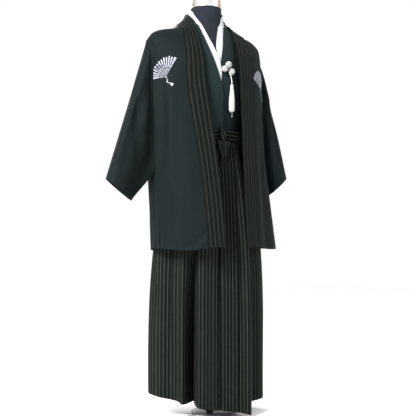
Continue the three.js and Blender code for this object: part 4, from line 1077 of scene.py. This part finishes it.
HALF_COLLAR_NECK = {
    -1: [(-36, 1478, -48, 1490), (-18, 1492, -24, 1513), (2, 1509, 0, 1538)],
    1: [(-54, 1478, -71, 1490), (-34, 1490, -58, 1515), (-14, 1506, -34, 1535), (6, 1516, 0, 1548)],
    0: [(30, 1524, 30, 1556), (60, 1530, 60, 1561), (90, 1532, 90, 1563)],
}
COLLAR_LIFT = 1
HALF_COLLAR_LIFT = -3.5
KIMONO_FOLDS = [(-1, -66, 1190, -18, 1095, 8, -2.2), (-1, -50, 1130, 2, 1078, 6, -1.8),
                (-1, 44, 1220, 32, 1090, 8, -2.2), (1, -80, 1330, -76, 1130, 16, -2.0),
                (1, 80, 1330, 76, 1130, 16, -2.0)]


def overlap_lift(f):
    return OVERLAP_LIFT * min(max((1 - f) / OVERLAP_FADE, 0), 1)


def add_kimono_body(side, name):
    edges = KIMONO_COLLAR[side]
    outer = body_panel(side, kimono_section, KIMONO_HEM, KIMONO_TOP, KIMONO_STATIONS, KIMONO_COLUMNS,
                       lambda z: edges.value("seam", z), COLLAR_AT_RIDGE, lambda f: KIMONO_SIDE_GAP,
                       lambda f, facing: overlap_lift(f) if side < 0 and facing < 0 else 0)
    outer, inner = panel_faces(side, outer, KIMONO_STATIONS,
                               lambda f, facing: xyz(0, 0, 1) if facing == 0 else xyz(side, 0, 0))
    outer, inner = refined(outer, inner, PITCH)
    outer, inner = folded(outer, inner, KIMONO_FOLDS)
    across, _ = grid_lengths(outer)
    made = wall_object(f"kimono_body_{name}_silk", outer, inner, across, hem_distance(outer))
    declare(made, KIMONO_SILK, [f"kimono_body_{name}"])


def collar_rows(side, edges, foot, neck):
    rows = []
    for f in [f for f in KIMONO_ROWS if f >= foot]:
        height = KIMONO_HEM + (KIMONO_TOP - KIMONO_HEM) * f
        seam, free = edges[side].value("seam", height), edges[side].value("free", height)
        row = []
        for t in (0, 0.5, 1):
            x = seam + (free - seam) * t
            ridge = ridge_height(kimono_section, side * max(side * x, NECK_HALF))
            z = KIMONO_HEM + (ridge - KIMONO_HEM) * f
            row.append(surface_point(kimono_section, x, z, -1, overlap_lift(f) if side < 0 else 0))
        rows.append(row)
    for low_turn, low, high_turn, high in neck[side] + neck[0]:
        rows.append([collar_point(side, low_turn + (high_turn - low_turn) * t, low + (high - low) * t)
                     for t in (0, 0.5, 1)])
    return rows


def add_collar(name, edges, feet, neck, lift, pitch, material, nodes):
    rows = collar_rows(-1, edges, feet[0], neck) + collar_rows(1, edges, feet[1], neck)[::-1][1:]
    outer, inner = refined(*strip_faces(rows, lift, lift + CLOTH), pitch)
    made = wall_object(name, outer, inner, *grid_lengths(outer))
    declare(made, material, nodes)


for side, name in ((-1, "right"), (1, "left")):
    add_kimono_body(side, name)
add_collar("kimono_collar_silk", KIMONO_COLLAR, (0.44, 0.44), COLLAR_NECK, COLLAR_LIFT, 5.0,
           KIMONO_SILK, ["kimono_collar"])
add_collar("half_collar_silk", HALF_COLLAR, (0.7, 0.76), HALF_COLLAR_NECK, HALF_COLLAR_LIFT, 4.0,
           WHITE_SILK, ["half_collar"])

# %% [markdown]
# ## Hakama
# The pleated trouser-skirt hangs from the waist. Its fold lines are a table round the body: the
# angle at the waist, the place at the hem, and how far the line is sunk there. A smooth closed curve
# goes through them at each height. A pleat's stripes stay parallel to its own middle line, and the
# pleat's edge swallows them towards the waist, as in a sewn pleat.

# %% Hakama folds
FOLD_NAMES = "panel turn x y z sink_x sink_y starts"
HAKAMA_FOLDS = [dict(zip(FOLD_NAMES.split(), row)) for row in (
    ("front_right", 180, -188, 58, 76, 0, 0, 0), ("front_right", 190, -180, 34, 73, 0, 0, 0),
    ("front_right", 203, -158, 4, 66, 8, 8, 0.1), ("front_right", 213, -146, -20, 62, 6, 4, 0.1),
    ("front_right", 221, -145, -50, 56, 0, 0, 0), ("front_right", 227, -132, -62, 55, 2, 14, 0.3),
    ("front_right", 232, -120, -68, 54, 8, 32, 0.36), ("front_right", 236, -108, -72, 54, 28, 58, 0.38),
    ("front_right", 239, -98, -76, 54, 42, 78, 0.38), ("front_left", 242, -98, -80, 52, 30, 62, 0.38),
    ("front_left", 245, -98, -86, 49, 10, 32, 0.36), ("front_left", 248, -100, -94, 44, 0, 4, 0.3),
    ("front_left", 252, -87, -108, 40, 0, 0, 0), ("front_left", 257, -56, -111, 35, 0, 0, 0),
    ("front_left", 262, -30, -114, 31, 0, 0, 0), ("front_left", 266, -14, -115, 29, 4, 16, 0.05),
    ("front_left", 270, 2, -118, 27, 0, 0, 0), ("front_left", 276, 32, -122, 22, 0, 0, 0),
    ("front_left", 281, 56, -130, 18, 0, 2, 0), ("front_left", 285, 68, -140, 16, 2, 14, 0.05),
    ("front_left", 289, 80, -153, 12, 0, 0, 0), ("front_left", 293, 94, -157, 10, 0, 0, 0),
    ("front_left", 297, 104, -148, 10, 0, 0, 0), ("front_left", 302, 106, -122, 14, 0, 0, 0),
    ("front_left", 308, 124, -86, 24, -6, 16, 0.3), ("front_left", 318, 164, -62, 34, -4, 16, 0.3),
    ("front_left", 332, 222, -46, 42, 0, 0, 0), ("front_left", 346, 256, -26, 46, 0, 0, 0),
    ("back_left", 360, 264, 6, 48, 0, 0, 0), ("back_left", 377, 248, 48, 54, 0, 0, 0),
    ("back_left", 394, 214, 84, 58, 0, 0, 0), ("back_left", 406, 176, 108, 62, -4, -18, 0.1),
    ("back_left", 417, 134, 126, 66, 0, 0, 0), ("back_left", 429, 92, 140, 70, 0, 0, 0),
    ("back_left", 438, 48, 138, 74, 0, 0, 0), ("back_left", 445, 20, 134, 76, 0, -16, 0.2),
    ("back_right", 450, 2, 132, 78, 0, -34, 0.3), ("back_right", 455, -18, 134, 80, 0, -14, 0.2),
    ("back_right", 462, -48, 140, 82, 0, 0, 0), ("back_right", 471, -88, 140, 84, 0, 4, 0.42),
    ("back_right", 482, -118, 134, 86, 0, -12, 0.1), ("back_right", 494, -148, 122, 87, 0, 16, 0.42),
    ("back_right", 508, -177, 102, 86, -5, 20, 0.42), ("back_right", 524, -188, 86, 82, -6, 10, 0.42))]
WAIST = {"half": 155, "front": -106, "back": 103, "mid": 8, "power": 2.2}
HAKAMA_CLOTH = 1.6
HAKAMA_TOP = 1046
HAKAMA_TUCK = 0.012
HAKAMA_FLARE = 4
HAKAMA_STEPS = 14
HAKAMA_LEVELS = [0, 0.006, HAKAMA_TUCK] + [HAKAMA_TUCK + (1 - HAKAMA_TUCK) * k / 96 for k in range(1, 97)]
# Pleats: the angles between which each one lies, and the angle of its middle line
PLEATS = [(180, 213, 190), (213, 239, 221), (239, 266, 252), (266, 285, 276), (285, 308, 293),
          (308, 346, 332), (346, 406, 377), (406, 445, 429), (445, 482, 462), (482, 540, 494)]
# Sharp pleat edges: angle, how deep the step is, and the share of the drop at which it has faded
PLEAT_EDGES = [(203, 2.6, 0.9), (239, 2.5, 0.6), (245, 2.4, 0.8), (266, 4.2, 0.72), (285, 4.0, 1.1),
               (318, 3.0, 1.1), (346, 2.6, 0.9), (394, 3.4, 1.1), (417, 3.4, 1.0), (438, 3.4, 1.1),
               (462, 3.4, 1.1), (482, 3.4, 1.0), (508, 3.0, 1.1)]
# How far, in columns, a step runs on the upper and on the lower side of its edge
STEP_REACH = {"over": 9.0, "under": 4.0, "share_under": 0.55}
STEP_FADE = {"hem": 0.25, "waist": 0.06}
# Each pleat starts its stripes a little later than the one before
STRIPE_SHIFT = 5.3


def hakama_point(fold, w):
    waist = oval_point(WAIST, math.radians(fold["turn"]), 0)
    below = max((w - HAKAMA_TUCK) / (1 - HAKAMA_TUCK), 0)
    flare = 1 - (1 - below) ** HAKAMA_FLARE
    late = max((w - fold["starts"]) / (1 - fold["starts"]), 0)
    sunk = 1 - (1 - late) ** 2.5
    return xyz(waist[0] + (fold["x"] - waist[0]) * flare + fold["sink_x"] * sunk,
               waist[1] + (fold["y"] - waist[1]) * flare + fold["sink_y"] * sunk,
               HAKAMA_TOP + (fold["z"] - HAKAMA_TOP) * w)


def hakama_ring(w):
    folds = np.array([hakama_point(fold, w) for fold in HAKAMA_FOLDS])
    a, b, c, d = (np.roll(folds, -n, axis=0) for n in (-1, 0, 1, 2))
    ring = []
    for step in range(HAKAMA_STEPS):
        t = step / HAKAMA_STEPS
        ring.append(0.5 * (2 * b + (c - a) * t + (2 * a - 5 * b + 4 * c - d) * t * t
                           + (d - a + 3 * b - 3 * c) * t**3))
    return np.stack(ring, axis=1).reshape(-1, 3)


def fold_column(turn):
    """Column of the finer ring at an angle between two fold lines."""
    turns = [fold["turn"] for fold in HAKAMA_FOLDS] + [HAKAMA_FOLDS[0]["turn"] + 360]
    return int(round(np.interp(turn, turns, np.arange(len(turns))) * HAKAMA_STEPS))


hakama_outer = np.array([hakama_ring(w) for w in HAKAMA_LEVELS])
columns = hakama_outer.shape[1]
hakama_out = grid_normals(hakama_outer, True)
if (hakama_out[..., :2] * hakama_outer[..., :2]).sum() < 0:
    hakama_out = -hakama_out
depth = np.zeros(hakama_outer.shape[:2])
level = np.array(HAKAMA_LEVELS)
for turn, step, end in PLEAT_EDGES:
    from_edge = (np.arange(columns) - fold_column(turn) + columns // 2) % columns - columns // 2
    shows = np.clip((end - level) / STEP_FADE["hem"], 0, 1)
    shows *= np.clip((level - HAKAMA_TUCK) / STEP_FADE["waist"], 0, 1)
    over = np.where(from_edge >= 0, np.exp(-from_edge / STEP_REACH["over"]), 0)
    under = np.where(from_edge < 0, np.exp(from_edge / STEP_REACH["under"]), 0)
    under *= -STEP_REACH["share_under"]
    depth += step * shows[:, None] * (over + under)[None, :]
hakama_outer = hakama_outer + hakama_out * depth[..., None]
hakama_inner = hakama_outer - hakama_out * HAKAMA_CLOTH
print("hakama grid", hakama_outer.shape)

# %% [markdown]
# The four panels are cut from that ring, with a hair's gap at each seam. The length across is
# measured along each level from the pleat's middle line, so that a stripe never bends with a fold.

# %% Hakama panels
round_ring = np.concatenate([hakama_outer, hakama_outer[:, :1]], axis=1)
run = lengths(round_ring, 1)
left_across, right_across = np.zeros((2, len(level), columns))
for number, (start, end, middle) in enumerate(PLEATS):
    first, last, reference = fold_column(start), fold_column(end), fold_column(middle)
    shift = number * STRIPE_SHIFT
    left_across[:, first:last] = run[:, first:last] - run[:, [reference]] + shift
    right_across[:, first:last] = run[:, first + 1:last + 1] - run[:, [reference]] + shift
drop = lengths(hakama_outer, 0)

for panel in ("front_right", "front_left", "back_left", "back_right"):
    held = [k for k, fold in enumerate(HAKAMA_FOLDS) if fold["panel"] == panel]
    pick = np.arange(held[0] * HAKAMA_STEPS, (held[-1] + 1) * HAKAMA_STEPS + 1)
    outer = hakama_outer[:, pick % columns].copy()
    inner = hakama_inner[:, pick % columns].copy()
    for grid in (outer, inner):
        trim_column(grid, False)
        trim_column(grid, True)
    strips = pick[:-1]
    from_hem = (drop[-1] - drop)[:, pick % columns]
    made = wall_object(f"hakama_{panel}_silk", outer, inner,
                       (left_across[:, strips], right_across[:, strips]), from_hem)
    declare(made, HAKAMA_SILK, [f"hakama_{panel}"])

# %% [markdown]
# ## Waistband, board, knot and ties
# The front waistband lies flat round the waist with its stripes level, a stiff board stands at the
# back, and the ties are knotted in front with two short ends. All are doubled cloth. The knot is a
# swollen loop of cloth with a few furrows, so its outline is rounded and then furrowed.

# %% Waistband and board
WAISTBAND = {"low": 1036, "high": 1078, "lift": 0.8, "thickness": 3, "ridge": 0.7, "fold": 14.0}
BACK_BOARD = {"lift": 5, "thickness": 4, "rows": [(1079, 112), (1104, 104), (1128, 94)]}


def waist_ring(z, out):
    return [oval_point(WAIST, 2 * math.pi * k / 56, z, out) for k in range(56)]


heights = [WAISTBAND["low"], (WAISTBAND["low"] + WAISTBAND["high"]) / 2, WAISTBAND["high"]]
outer = np.array([waist_ring(z, WAISTBAND["lift"] + WAISTBAND["thickness"]) for z in heights])
inner = np.array([waist_ring(z, WAISTBAND["lift"]) for z in heights])
outer, inner = refined(outer, inner, 5.0, wrap=True)
turn = (outer[..., 2] - WAISTBAND["low"]) / WAISTBAND["fold"] * 2 * math.pi
away = (outer - inner) / np.linalg.norm(outer - inner, axis=-1)[..., None]
outer = outer + away * WAISTBAND["ridge"] * (np.sin(turn)[..., None] - 1)
up = outer[..., 2] - WAISTBAND["low"]
across = (up[:, :-1], up[:, 1:])
waistband = wall_object("hakama_waistband_silk", outer, inner, across, lengths(outer, 1), closed=True)
declare(waistband, HAKAMA_SILK, ["hakama_waistband"])

board = np.array([[surface_point(kimono_section, s * half, z, 1, BACK_BOARD["lift"])
                   for s in (-1, -0.6, -0.2, 0.2, 0.6, 1)] for z, half in BACK_BOARD["rows"]])
outer, inner = refined(board + [0, BACK_BOARD["thickness"], 0], board, 4.0)
board_piece = wall_object("hakama_back_board_silk", outer, inner, *grid_lengths(outer))
dress(board_piece, HAKAMA_SILK, ["hakama_back_board"])

# %% Knot and tie ends
KNOT = {"x": -4, "z": 1057, "half_width": 13, "half_height": 27, "depth": 14.4}
TIE_ENDS = {
    "right": [(1033, -34, -6, -121.5), (1012, -30, -5, -121.5), (990, -22, -5, -122.5),
              (966, -14, -6, -123.5)],
    "left": [(1033, -4, 25, -121.5), (1012, -4, 20, -121.5), (990, -4, 12, -122.5),
             (970, -5, 3, -123.5)],
}
TIE_CLOTH = 3
TIE_SWELL = 1.1
KNOT_RINGS, KNOT_SIDES = 32, 24
knot_back = WAIST["front"] - WAISTBAND["lift"] - WAISTBAND["thickness"] - SEAM
knot_rings = []
for k in range(1, KNOT_RINGS):
    turn = math.pi * k / KNOT_RINGS
    height, reach = math.cos(turn), math.sin(turn)
    ring = []
    for j in range(KNOT_SIDES):
        around = 2 * math.pi * j / KNOT_SIDES
        c, s = math.cos(around), math.sin(around)
        width = KNOT["half_width"] * math.copysign(abs(c) ** 0.5, c) * reach**0.35
        furrow = 0.9 * math.sin(width * 0.9 + height * 2.2)
        out = KNOT["depth"] / 2 * (1 + math.copysign(abs(s) ** 0.6, s)) * reach**0.45
        out = max(out + (furrow if s > 0.2 else 0), 0)
        ring.append(xyz(KNOT["x"] + width, knot_back - out, KNOT["z"] - KNOT["half_height"] * height))
    knot_rings.append(ring[::-1])
knot = ring_solid("hakama_knot_silk", knot_rings, HAKAMA_SILK, ["hakama_knot"])
layer = knot.data.uv_layers.new(name="cloth")
for loop in knot.data.loops:
    at = knot.data.vertices[loop.vertex_index].co
    layer.data[loop.index].uv = (at.x + 0.5 * at.z, at.z)

for name, rows in TIE_ENDS.items():
    grid = np.array([[xyz(a + (b - a) * t, y, z) for t in (0, 0.33, 0.67, 1)] for z, a, b, y in rows])
    outer, inner = refined(grid - [0, TIE_CLOTH, 0], grid, 2.5)
    middle = lengths(outer, 1)
    swell = TIE_SWELL * (np.clip(np.sin(np.pi * middle / middle[:, -1:]), 0, 1) ** 0.5 - 1)
    outer = outer - swell[..., None] * [0, 1, 0]
    made = wall_object(f"hakama_tie_end_{name}_silk", outer, inner, *grid_lengths(outer))
    dress(made, HAKAMA_SILK, [f"hakama_tie_end_{name}"])

# %% [markdown]
# ## Embroidered fans
# An open folding fan is a common festive motif. Each chest carries one in white satin stitch, with
# a knotted cord and a tiny tassel. Every stitch field is a small flat shape. It is laid on the coat
# by lengths measured on the cloth from the fan's pivot, and stands half a millimetre proud.

# %% Laying a drawing on the cloth
# Shares of the radius and, for gap and rib, of one blade's angle
FAN = {"blades": 13, "leaf": 0.46, "gap": 0.5, "rib": 0.2, "rib_low": 0.1, "rib_high": 0.43,
       "tip_step": 0.012}
GUARD = {"low": 0.03, "high": 1.015, "half_angle": 0.9}
FANS = {
    "right": {"x": -222, "z": 1262, "radius": 75, "start": 58, "end": 167},
    "left": {"x": 205, "z": 1253, "radius": 70, "start": 52, "end": 160},
}
STITCH_FOOT = 0.15
STITCH_HEIGHT = 0.55


def chest_lay(side_name, x, z):
    """Function from lengths on the cloth (across to the image right, up) to a point and a normal."""
    grid = made_of[f"haori_body_{side_name}_silk"]
    front = grid[: len(grid) // 2]
    normals = grid_normals(front)
    if normals[:, :, 1].mean() > 0:
        normals = -normals
    heights = front[:, :, 2].mean(axis=1)
    run_across = lengths(front, 1) * (1 if side_name == "left" else -1)

    def lay(a, b):
        row = float(np.interp(z + b, heights, np.arange(len(heights))))
        i, t = min(int(row), len(front) - 2), row - int(row)
        points = front[i] * (1 - t) + front[i + 1] * t
        ways = normals[i] * (1 - t) + normals[i + 1] * t
        runs = run_across[i] * (1 - t) + run_across[i + 1] * t
        order = np.argsort(points[:, 0])
        wanted = float(np.interp(x, points[order, 0], runs[order])) + a
        order = np.argsort(runs)
        place = [float(np.interp(wanted, runs[order], points[order, n])) for n in range(3)]
        way = np.array([float(np.interp(wanted, runs[order], ways[order, n])) for n in range(3)])
        return np.array(place), way / np.linalg.norm(way)

    return lay


def stitched(shape, lay, vertices, faces):
    """A closed low prism over one outline, drawn as a list of (across, up)."""
    first = len(vertices)
    count = len(shape)
    turned = sum(shape[k - 1][0] * shape[k][1] - shape[k][0] * shape[k - 1][1] for k in range(count))
    if turned < 0:
        shape = shape[::-1]
    for foot in (STITCH_FOOT, STITCH_HEIGHT):
        for a, b in shape:
            place, way = lay(a, b)
            vertices.append(place + way * foot)
    faces.append(tuple(range(first, first + count))[::-1])
    faces.append(tuple(range(first + count, first + 2 * count)))
    for k in range(count):
        n = (k + 1) % count
        faces.append((first + k, first + n, first + count + n, first + count + k))


def polar(radius, degrees):
    return radius * math.cos(math.radians(degrees)), radius * math.sin(math.radians(degrees))


def wedge(r0, r1, a0, a1, steps=5):
    """Outline between two radii and two angles."""
    low = [polar(r0, a0 + (a1 - a0) * k / 2) for k in range(3)]
    sides = [polar(r0 + (r1 - r0) * k / steps, a1) for k in range(1, steps)]
    high = [polar(r1, a1 + (a0 - a1) * k / 2) for k in range(3)]
    back = [polar(r1 + (r0 - r1) * k / steps, a0) for k in range(1, steps)]
    return low + sides + high + back


def ribbon(points, half):
    """Outline of a line of stitches along points."""
    points = np.array(points, float)
    way = np.gradient(points, axis=0)
    way /= np.linalg.norm(way, axis=1)[:, None]
    side = np.stack([-way[:, 1], way[:, 0]], axis=1) * half
    return [tuple(p) for p in points + side][::-1] + [tuple(p) for p in points - side]


# %% Drawing the fans
CORD_DRAWN = [(2, -6), (7, -12), (5, -19), (10, -24), (16, -27)]
PIVOT_RADIUS, KNOT_RADIUS = 3.4, 3.2
KNOT_AT = np.array([5, -18])
FRINGE = {"at": np.array([15, -26]), "threads": 5, "first": -52, "step": 8, "length": 17, "half": 1.05}
ROUND = [polar(1.0, 30 * k) for k in range(12)]

for name, fan in FANS.items():
    lay = chest_lay(name, fan["x"], fan["z"])
    vertices, faces = [], []
    span = (fan["end"] - fan["start"]) / FAN["blades"]
    radius = fan["radius"]
    shapes = []
    for k in range(FAN["blades"]):
        a0 = fan["start"] + span * (k + FAN["gap"] / 2)
        a1 = fan["start"] + span * (k + 1 - FAN["gap"] / 2)
        tip = radius * (1 + FAN["tip_step"] * (-1) ** k)
        shapes.append(wedge(radius * FAN["leaf"], tip, a0, a1))
        middle = (a0 + a1) / 2
        rib = FAN["rib"] * span
        shapes.append(wedge(radius * FAN["rib_low"], radius * FAN["rib_high"], middle - rib, middle + rib))
    for edge in (fan["start"], fan["end"]):
        shapes.append(wedge(radius * GUARD["low"], radius * GUARD["high"],
                            edge - GUARD["half_angle"], edge + GUARD["half_angle"]))
    shapes.append([(a * PIVOT_RADIUS, b * PIVOT_RADIUS) for a, b in ROUND])
    shapes.append(ribbon(CORD_DRAWN, 0.8))
    shapes.append([(KNOT_AT[0] + a * KNOT_RADIUS, KNOT_AT[1] + b * KNOT_RADIUS) for a, b in ROUND])
    for k in range(FRINGE["threads"]):
        end = FRINGE["at"] + np.array(polar(FRINGE["length"], FRINGE["first"] + FRINGE["step"] * k))
        shapes.append(ribbon([FRINGE["at"], (FRINGE["at"] + end) / 2, end], FRINGE["half"]))
    for shape in shapes:
        stitched(shape, lay, vertices, faces)
    drawn = new_object(f"fan_{name}_stitching", vertices, faces, smooth=False)
    dress(drawn, STITCH)
    print(drawn.name, "stitch fields", len(shapes))

# %% [markdown]
# ## Pompoms and tassel
# Wool pompoms are bundles of cut yarn. Their fibres spread from a core in all directions. Each
# fibre is a thin spike, and its length varies with a fixed random seed, so each run is the same.
# The tassel is a skirt of threads below a bound head, and one loose thread hangs from it.

# %% Pompoms
POMPOMS = {"upper": (14, 1322), "right": (-6, 1304), "left": (26, 1296)}
POMPOM = {"radius": 12.6, "core": 10.6, "fibres": 1500, "half": 0.55, "root": 0.8, "lean": 0.05,
          "shortest": 0.93}
CORE_RINGS, CORE_SIDES = 14, 20
GOLDEN = math.pi * (3 - math.sqrt(5))


def ball_ways(count):
    k = np.arange(count)
    z = 1 - 2 * (k + 0.5) / count
    r = np.sqrt(1 - z * z)
    return np.stack([r * np.cos(GOLDEN * k), r * np.sin(GOLDEN * k), z], axis=1)


def spikes(starts, ends, half, vertices, faces):
    """Three-sided tapering fibres, all in one mesh."""
    for start, end in zip(starts, ends):
        way = (end - start) / np.linalg.norm(end - start)
        helper = np.array([1.0, 0, 0]) if abs(way[2]) > 0.9 else np.array([0, 0, 1.0])
        u = np.cross(way, helper)
        u /= np.linalg.norm(u)
        v = np.cross(way, u)
        first = len(vertices)
        for place, size in ((start, half), (end, half * 0.5)):
            for a, b in ((1, 0), (-0.5, 0.87), (-0.5, -0.87)):
                vertices.append(place + u * a * size + v * b * size)
        faces += [(first, first + 2, first + 1), (first + 3, first + 4, first + 5)]
        faces += [(first + k, first + (k + 1) % 3, first + 3 + (k + 1) % 3, first + 3 + k)
                  for k in range(3)]


rng = random.Random(7)
for name, (x, z) in POMPOMS.items():
    y = surface_point(kimono_section, x, z, -1, OVERLAP_LIFT)[1] - SEAM - POMPOM["radius"]
    centre = xyz(x, y, z)
    turns = [math.pi * k / CORE_RINGS for k in range(1, CORE_RINGS)]
    rings = lathe([(POMPOM["core"] * math.sin(t), z - POMPOM["core"] * math.cos(t)) for t in turns],
                  (x, y), CORE_SIDES)
    vertices = [p for ring in rings for p in ring]
    faces = ring_faces(len(rings), CORE_SIDES)
    ways = ball_ways(POMPOM["fibres"])
    jitter = np.array([[rng.uniform(-POMPOM["lean"], POMPOM["lean"]) for _ in range(3)] for _ in ways])
    reach = np.array([POMPOM["radius"] * rng.uniform(POMPOM["shortest"], 1.0) for _ in ways])[:, None]
    leaning = (ways + jitter) / np.linalg.norm(ways + jitter, axis=1)[:, None]
    spikes(centre + ways * POMPOM["core"] * POMPOM["root"], centre + leaning * reach, POMPOM["half"],
           vertices, faces)
    made = new_object(f"tie_pompom_{name}_wool", vertices, faces, smooth=False)
    dress(made, WHITE_YARN, [f"tie_pompom_{name}"])
print("fibres per pompom:", POMPOM["fibres"])

# %% Tassel
TASSEL = {"top": 1243, "bottom": 1139, "head": 6, "head_height": 17, "bore": 2.1, "strands": 150,
          "first": 2.7, "neck": 5.2, "reach": 11.2, "half": 0.52, "root": 13, "uneven": 5, "bell": 4}
HEAD_RINGS, HEAD_SIDES, HEAD_TURNS = 35, 24, 9
STRAND_STEPS = 8
LOOSE_THREAD = {"length": 19.0, "half": 0.6, "steps": 20, "sway": 1.1}
tx, ty = CORD_ROUTE[-1][:2]
head_profile = []
for k in range(HEAD_RINGS):
    down = k / (HEAD_RINGS - 1)
    wound = 0.32 * abs(math.sin(down * math.pi * HEAD_TURNS)) if 0.2 < down < 0.9 else 0
    size = TASSEL["head"] * min(1, (1 - (1 - min(down / 0.16, 1)) ** 2) ** 0.5 + 0.02) - wound * 1.2
    size -= 1.1 * max(down - 0.8, 0) / 0.2
    head_profile.append((max(size, TASSEL["bore"] + 0.2), TASSEL["top"] - TASSEL["head_height"] * down))
head_profile += [(TASSEL["bore"], TASSEL["top"] - TASSEL["head_height"]), (TASSEL["bore"], TASSEL["top"])]
head_rings = lathe(head_profile[::-1], (tx, ty), HEAD_SIDES)
vertices = [p for ring in head_rings for p in ring]
faces = ring_faces(len(head_rings), HEAD_SIDES, loop=True)


def add_tube(route, radii, sides):
    more, new_faces = tube(route, radii, sides)
    first = len(vertices)
    vertices.extend(more)
    faces.extend(tuple(first + n for n in face) for face in new_faces)


for k in range(TASSEL["strands"]):
    share = math.sqrt((k + 0.5) / TASSEL["strands"])
    turn = GOLDEN * k
    way = np.array([math.cos(turn), math.sin(turn), 0])
    low = TASSEL["bottom"] + rng.uniform(0, TASSEL["uneven"]) + TASSEL["bell"] * share**3
    root = TASSEL["top"] - TASSEL["root"]
    route = []
    for n in range(STRAND_STEPS + 1):
        down = n / STRAND_STEPS
        edge = TASSEL["neck"] + (TASSEL["reach"] - TASSEL["neck"]) * (1 - (1 - down) ** 2.3)
        spread = TASSEL["first"] + (edge * (1 - 0.12 * down**4) - TASSEL["first"]) * share
        sway = 0.35 * math.sin(down * 7 + k)
        route.append(xyz(tx, ty, root + (low - root) * down) + way * spread + [sway, sway * 0.6, 0])
    add_tube(route, [TASSEL["half"]] * STRAND_STEPS + [TASSEL["half"] * 0.6], 4)
thread_top = CORD_ROUTE[-1][2] - 1
thread_low = TASSEL["bottom"] - LOOSE_THREAD["length"]
steps = LOOSE_THREAD["steps"]
loose = [xyz(tx + LOOSE_THREAD["sway"] * math.sin(n * 0.5), ty,
             thread_top + (thread_low - thread_top) * n / steps) for n in range(steps + 1)]
add_tube(loose, [LOOSE_THREAD["half"]] * (steps + 1), 5)
tassel = new_object("tie_tassel_threads", vertices, faces)
dress(tassel, WHITE_YARN, ["tie_tassel"])
(cord_line * MM).tolist()
print("tassel threads:", TASSEL["strands"])

# %% [markdown]
# ## Studio
# The photograph has a plain white ground and soft, even light. A pale floor, a bright sky and three
# large lamps give the same. The lamps stand left, right and behind, so the folds keep soft shadows.

# %% Floor, sky and lamps
# Place in metres, power in watts, side in metres
LAMPS = [((-3.2, -1.5, 2.9), 400, 1.4), ((2.6, -2.4, 2.2), 25, 2.0), ((0.6, 2.6, 2.6), 60, 1.8)]
FLOOR_HALF = 9000
LAMPS_AIM_AT = Vector((0, 0, 0.9))

corners = [(FLOOR_HALF * a, FLOOR_HALF * b, 0) for a, b in ((-1, -1), (1, -1), (1, 1), (-1, 1))]
floor = new_object("floor", corners, [(0, 1, 2, 3)], smooth=False)
material, shade, shader = new_material("pale_floor", Roughness=0.9)
place = shade.node("ShaderNodeTexCoord", None, None, 3)
pale = shade.noise(place, 1.5).mix(rgb(0.94, 0.94, 0.94), rgb(0.97, 0.97, 0.97))
shade.feed(shader.inputs["Base Color"], pale)
floor.data.materials.append(material)
floor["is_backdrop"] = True

for number, (place, power, size) in enumerate(LAMPS):
    lamp = bpy.data.lights.new(f"lamp_{number}", "AREA")
    lamp.energy, lamp.size = power, size
    holder = bpy.data.objects.new(f"lamp_{number}", lamp)
    holder.location = place
    holder.rotation_euler = (LAMPS_AIM_AT - Vector(place)).to_track_quat("-Z", "Y").to_euler()
    scene.collection.objects.link(holder)

world = bpy.data.worlds.new("studio")
world.use_nodes = True
world.node_tree.nodes["Background"].inputs[0].default_value = rgb(1.0, 1.0, 1.0)
world.node_tree.nodes["Background"].inputs[1].default_value = 1.0
scene.world = world
scene.view_settings.view_transform = "Standard"

# %% [markdown]
# ## Sizes
# The last cell prints the box round every piece that renders, leaving out the floor.

# %% Finish
low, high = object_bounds()
print("visual box", [round(c, 4) for c in low], [round(c, 4) for c in high])
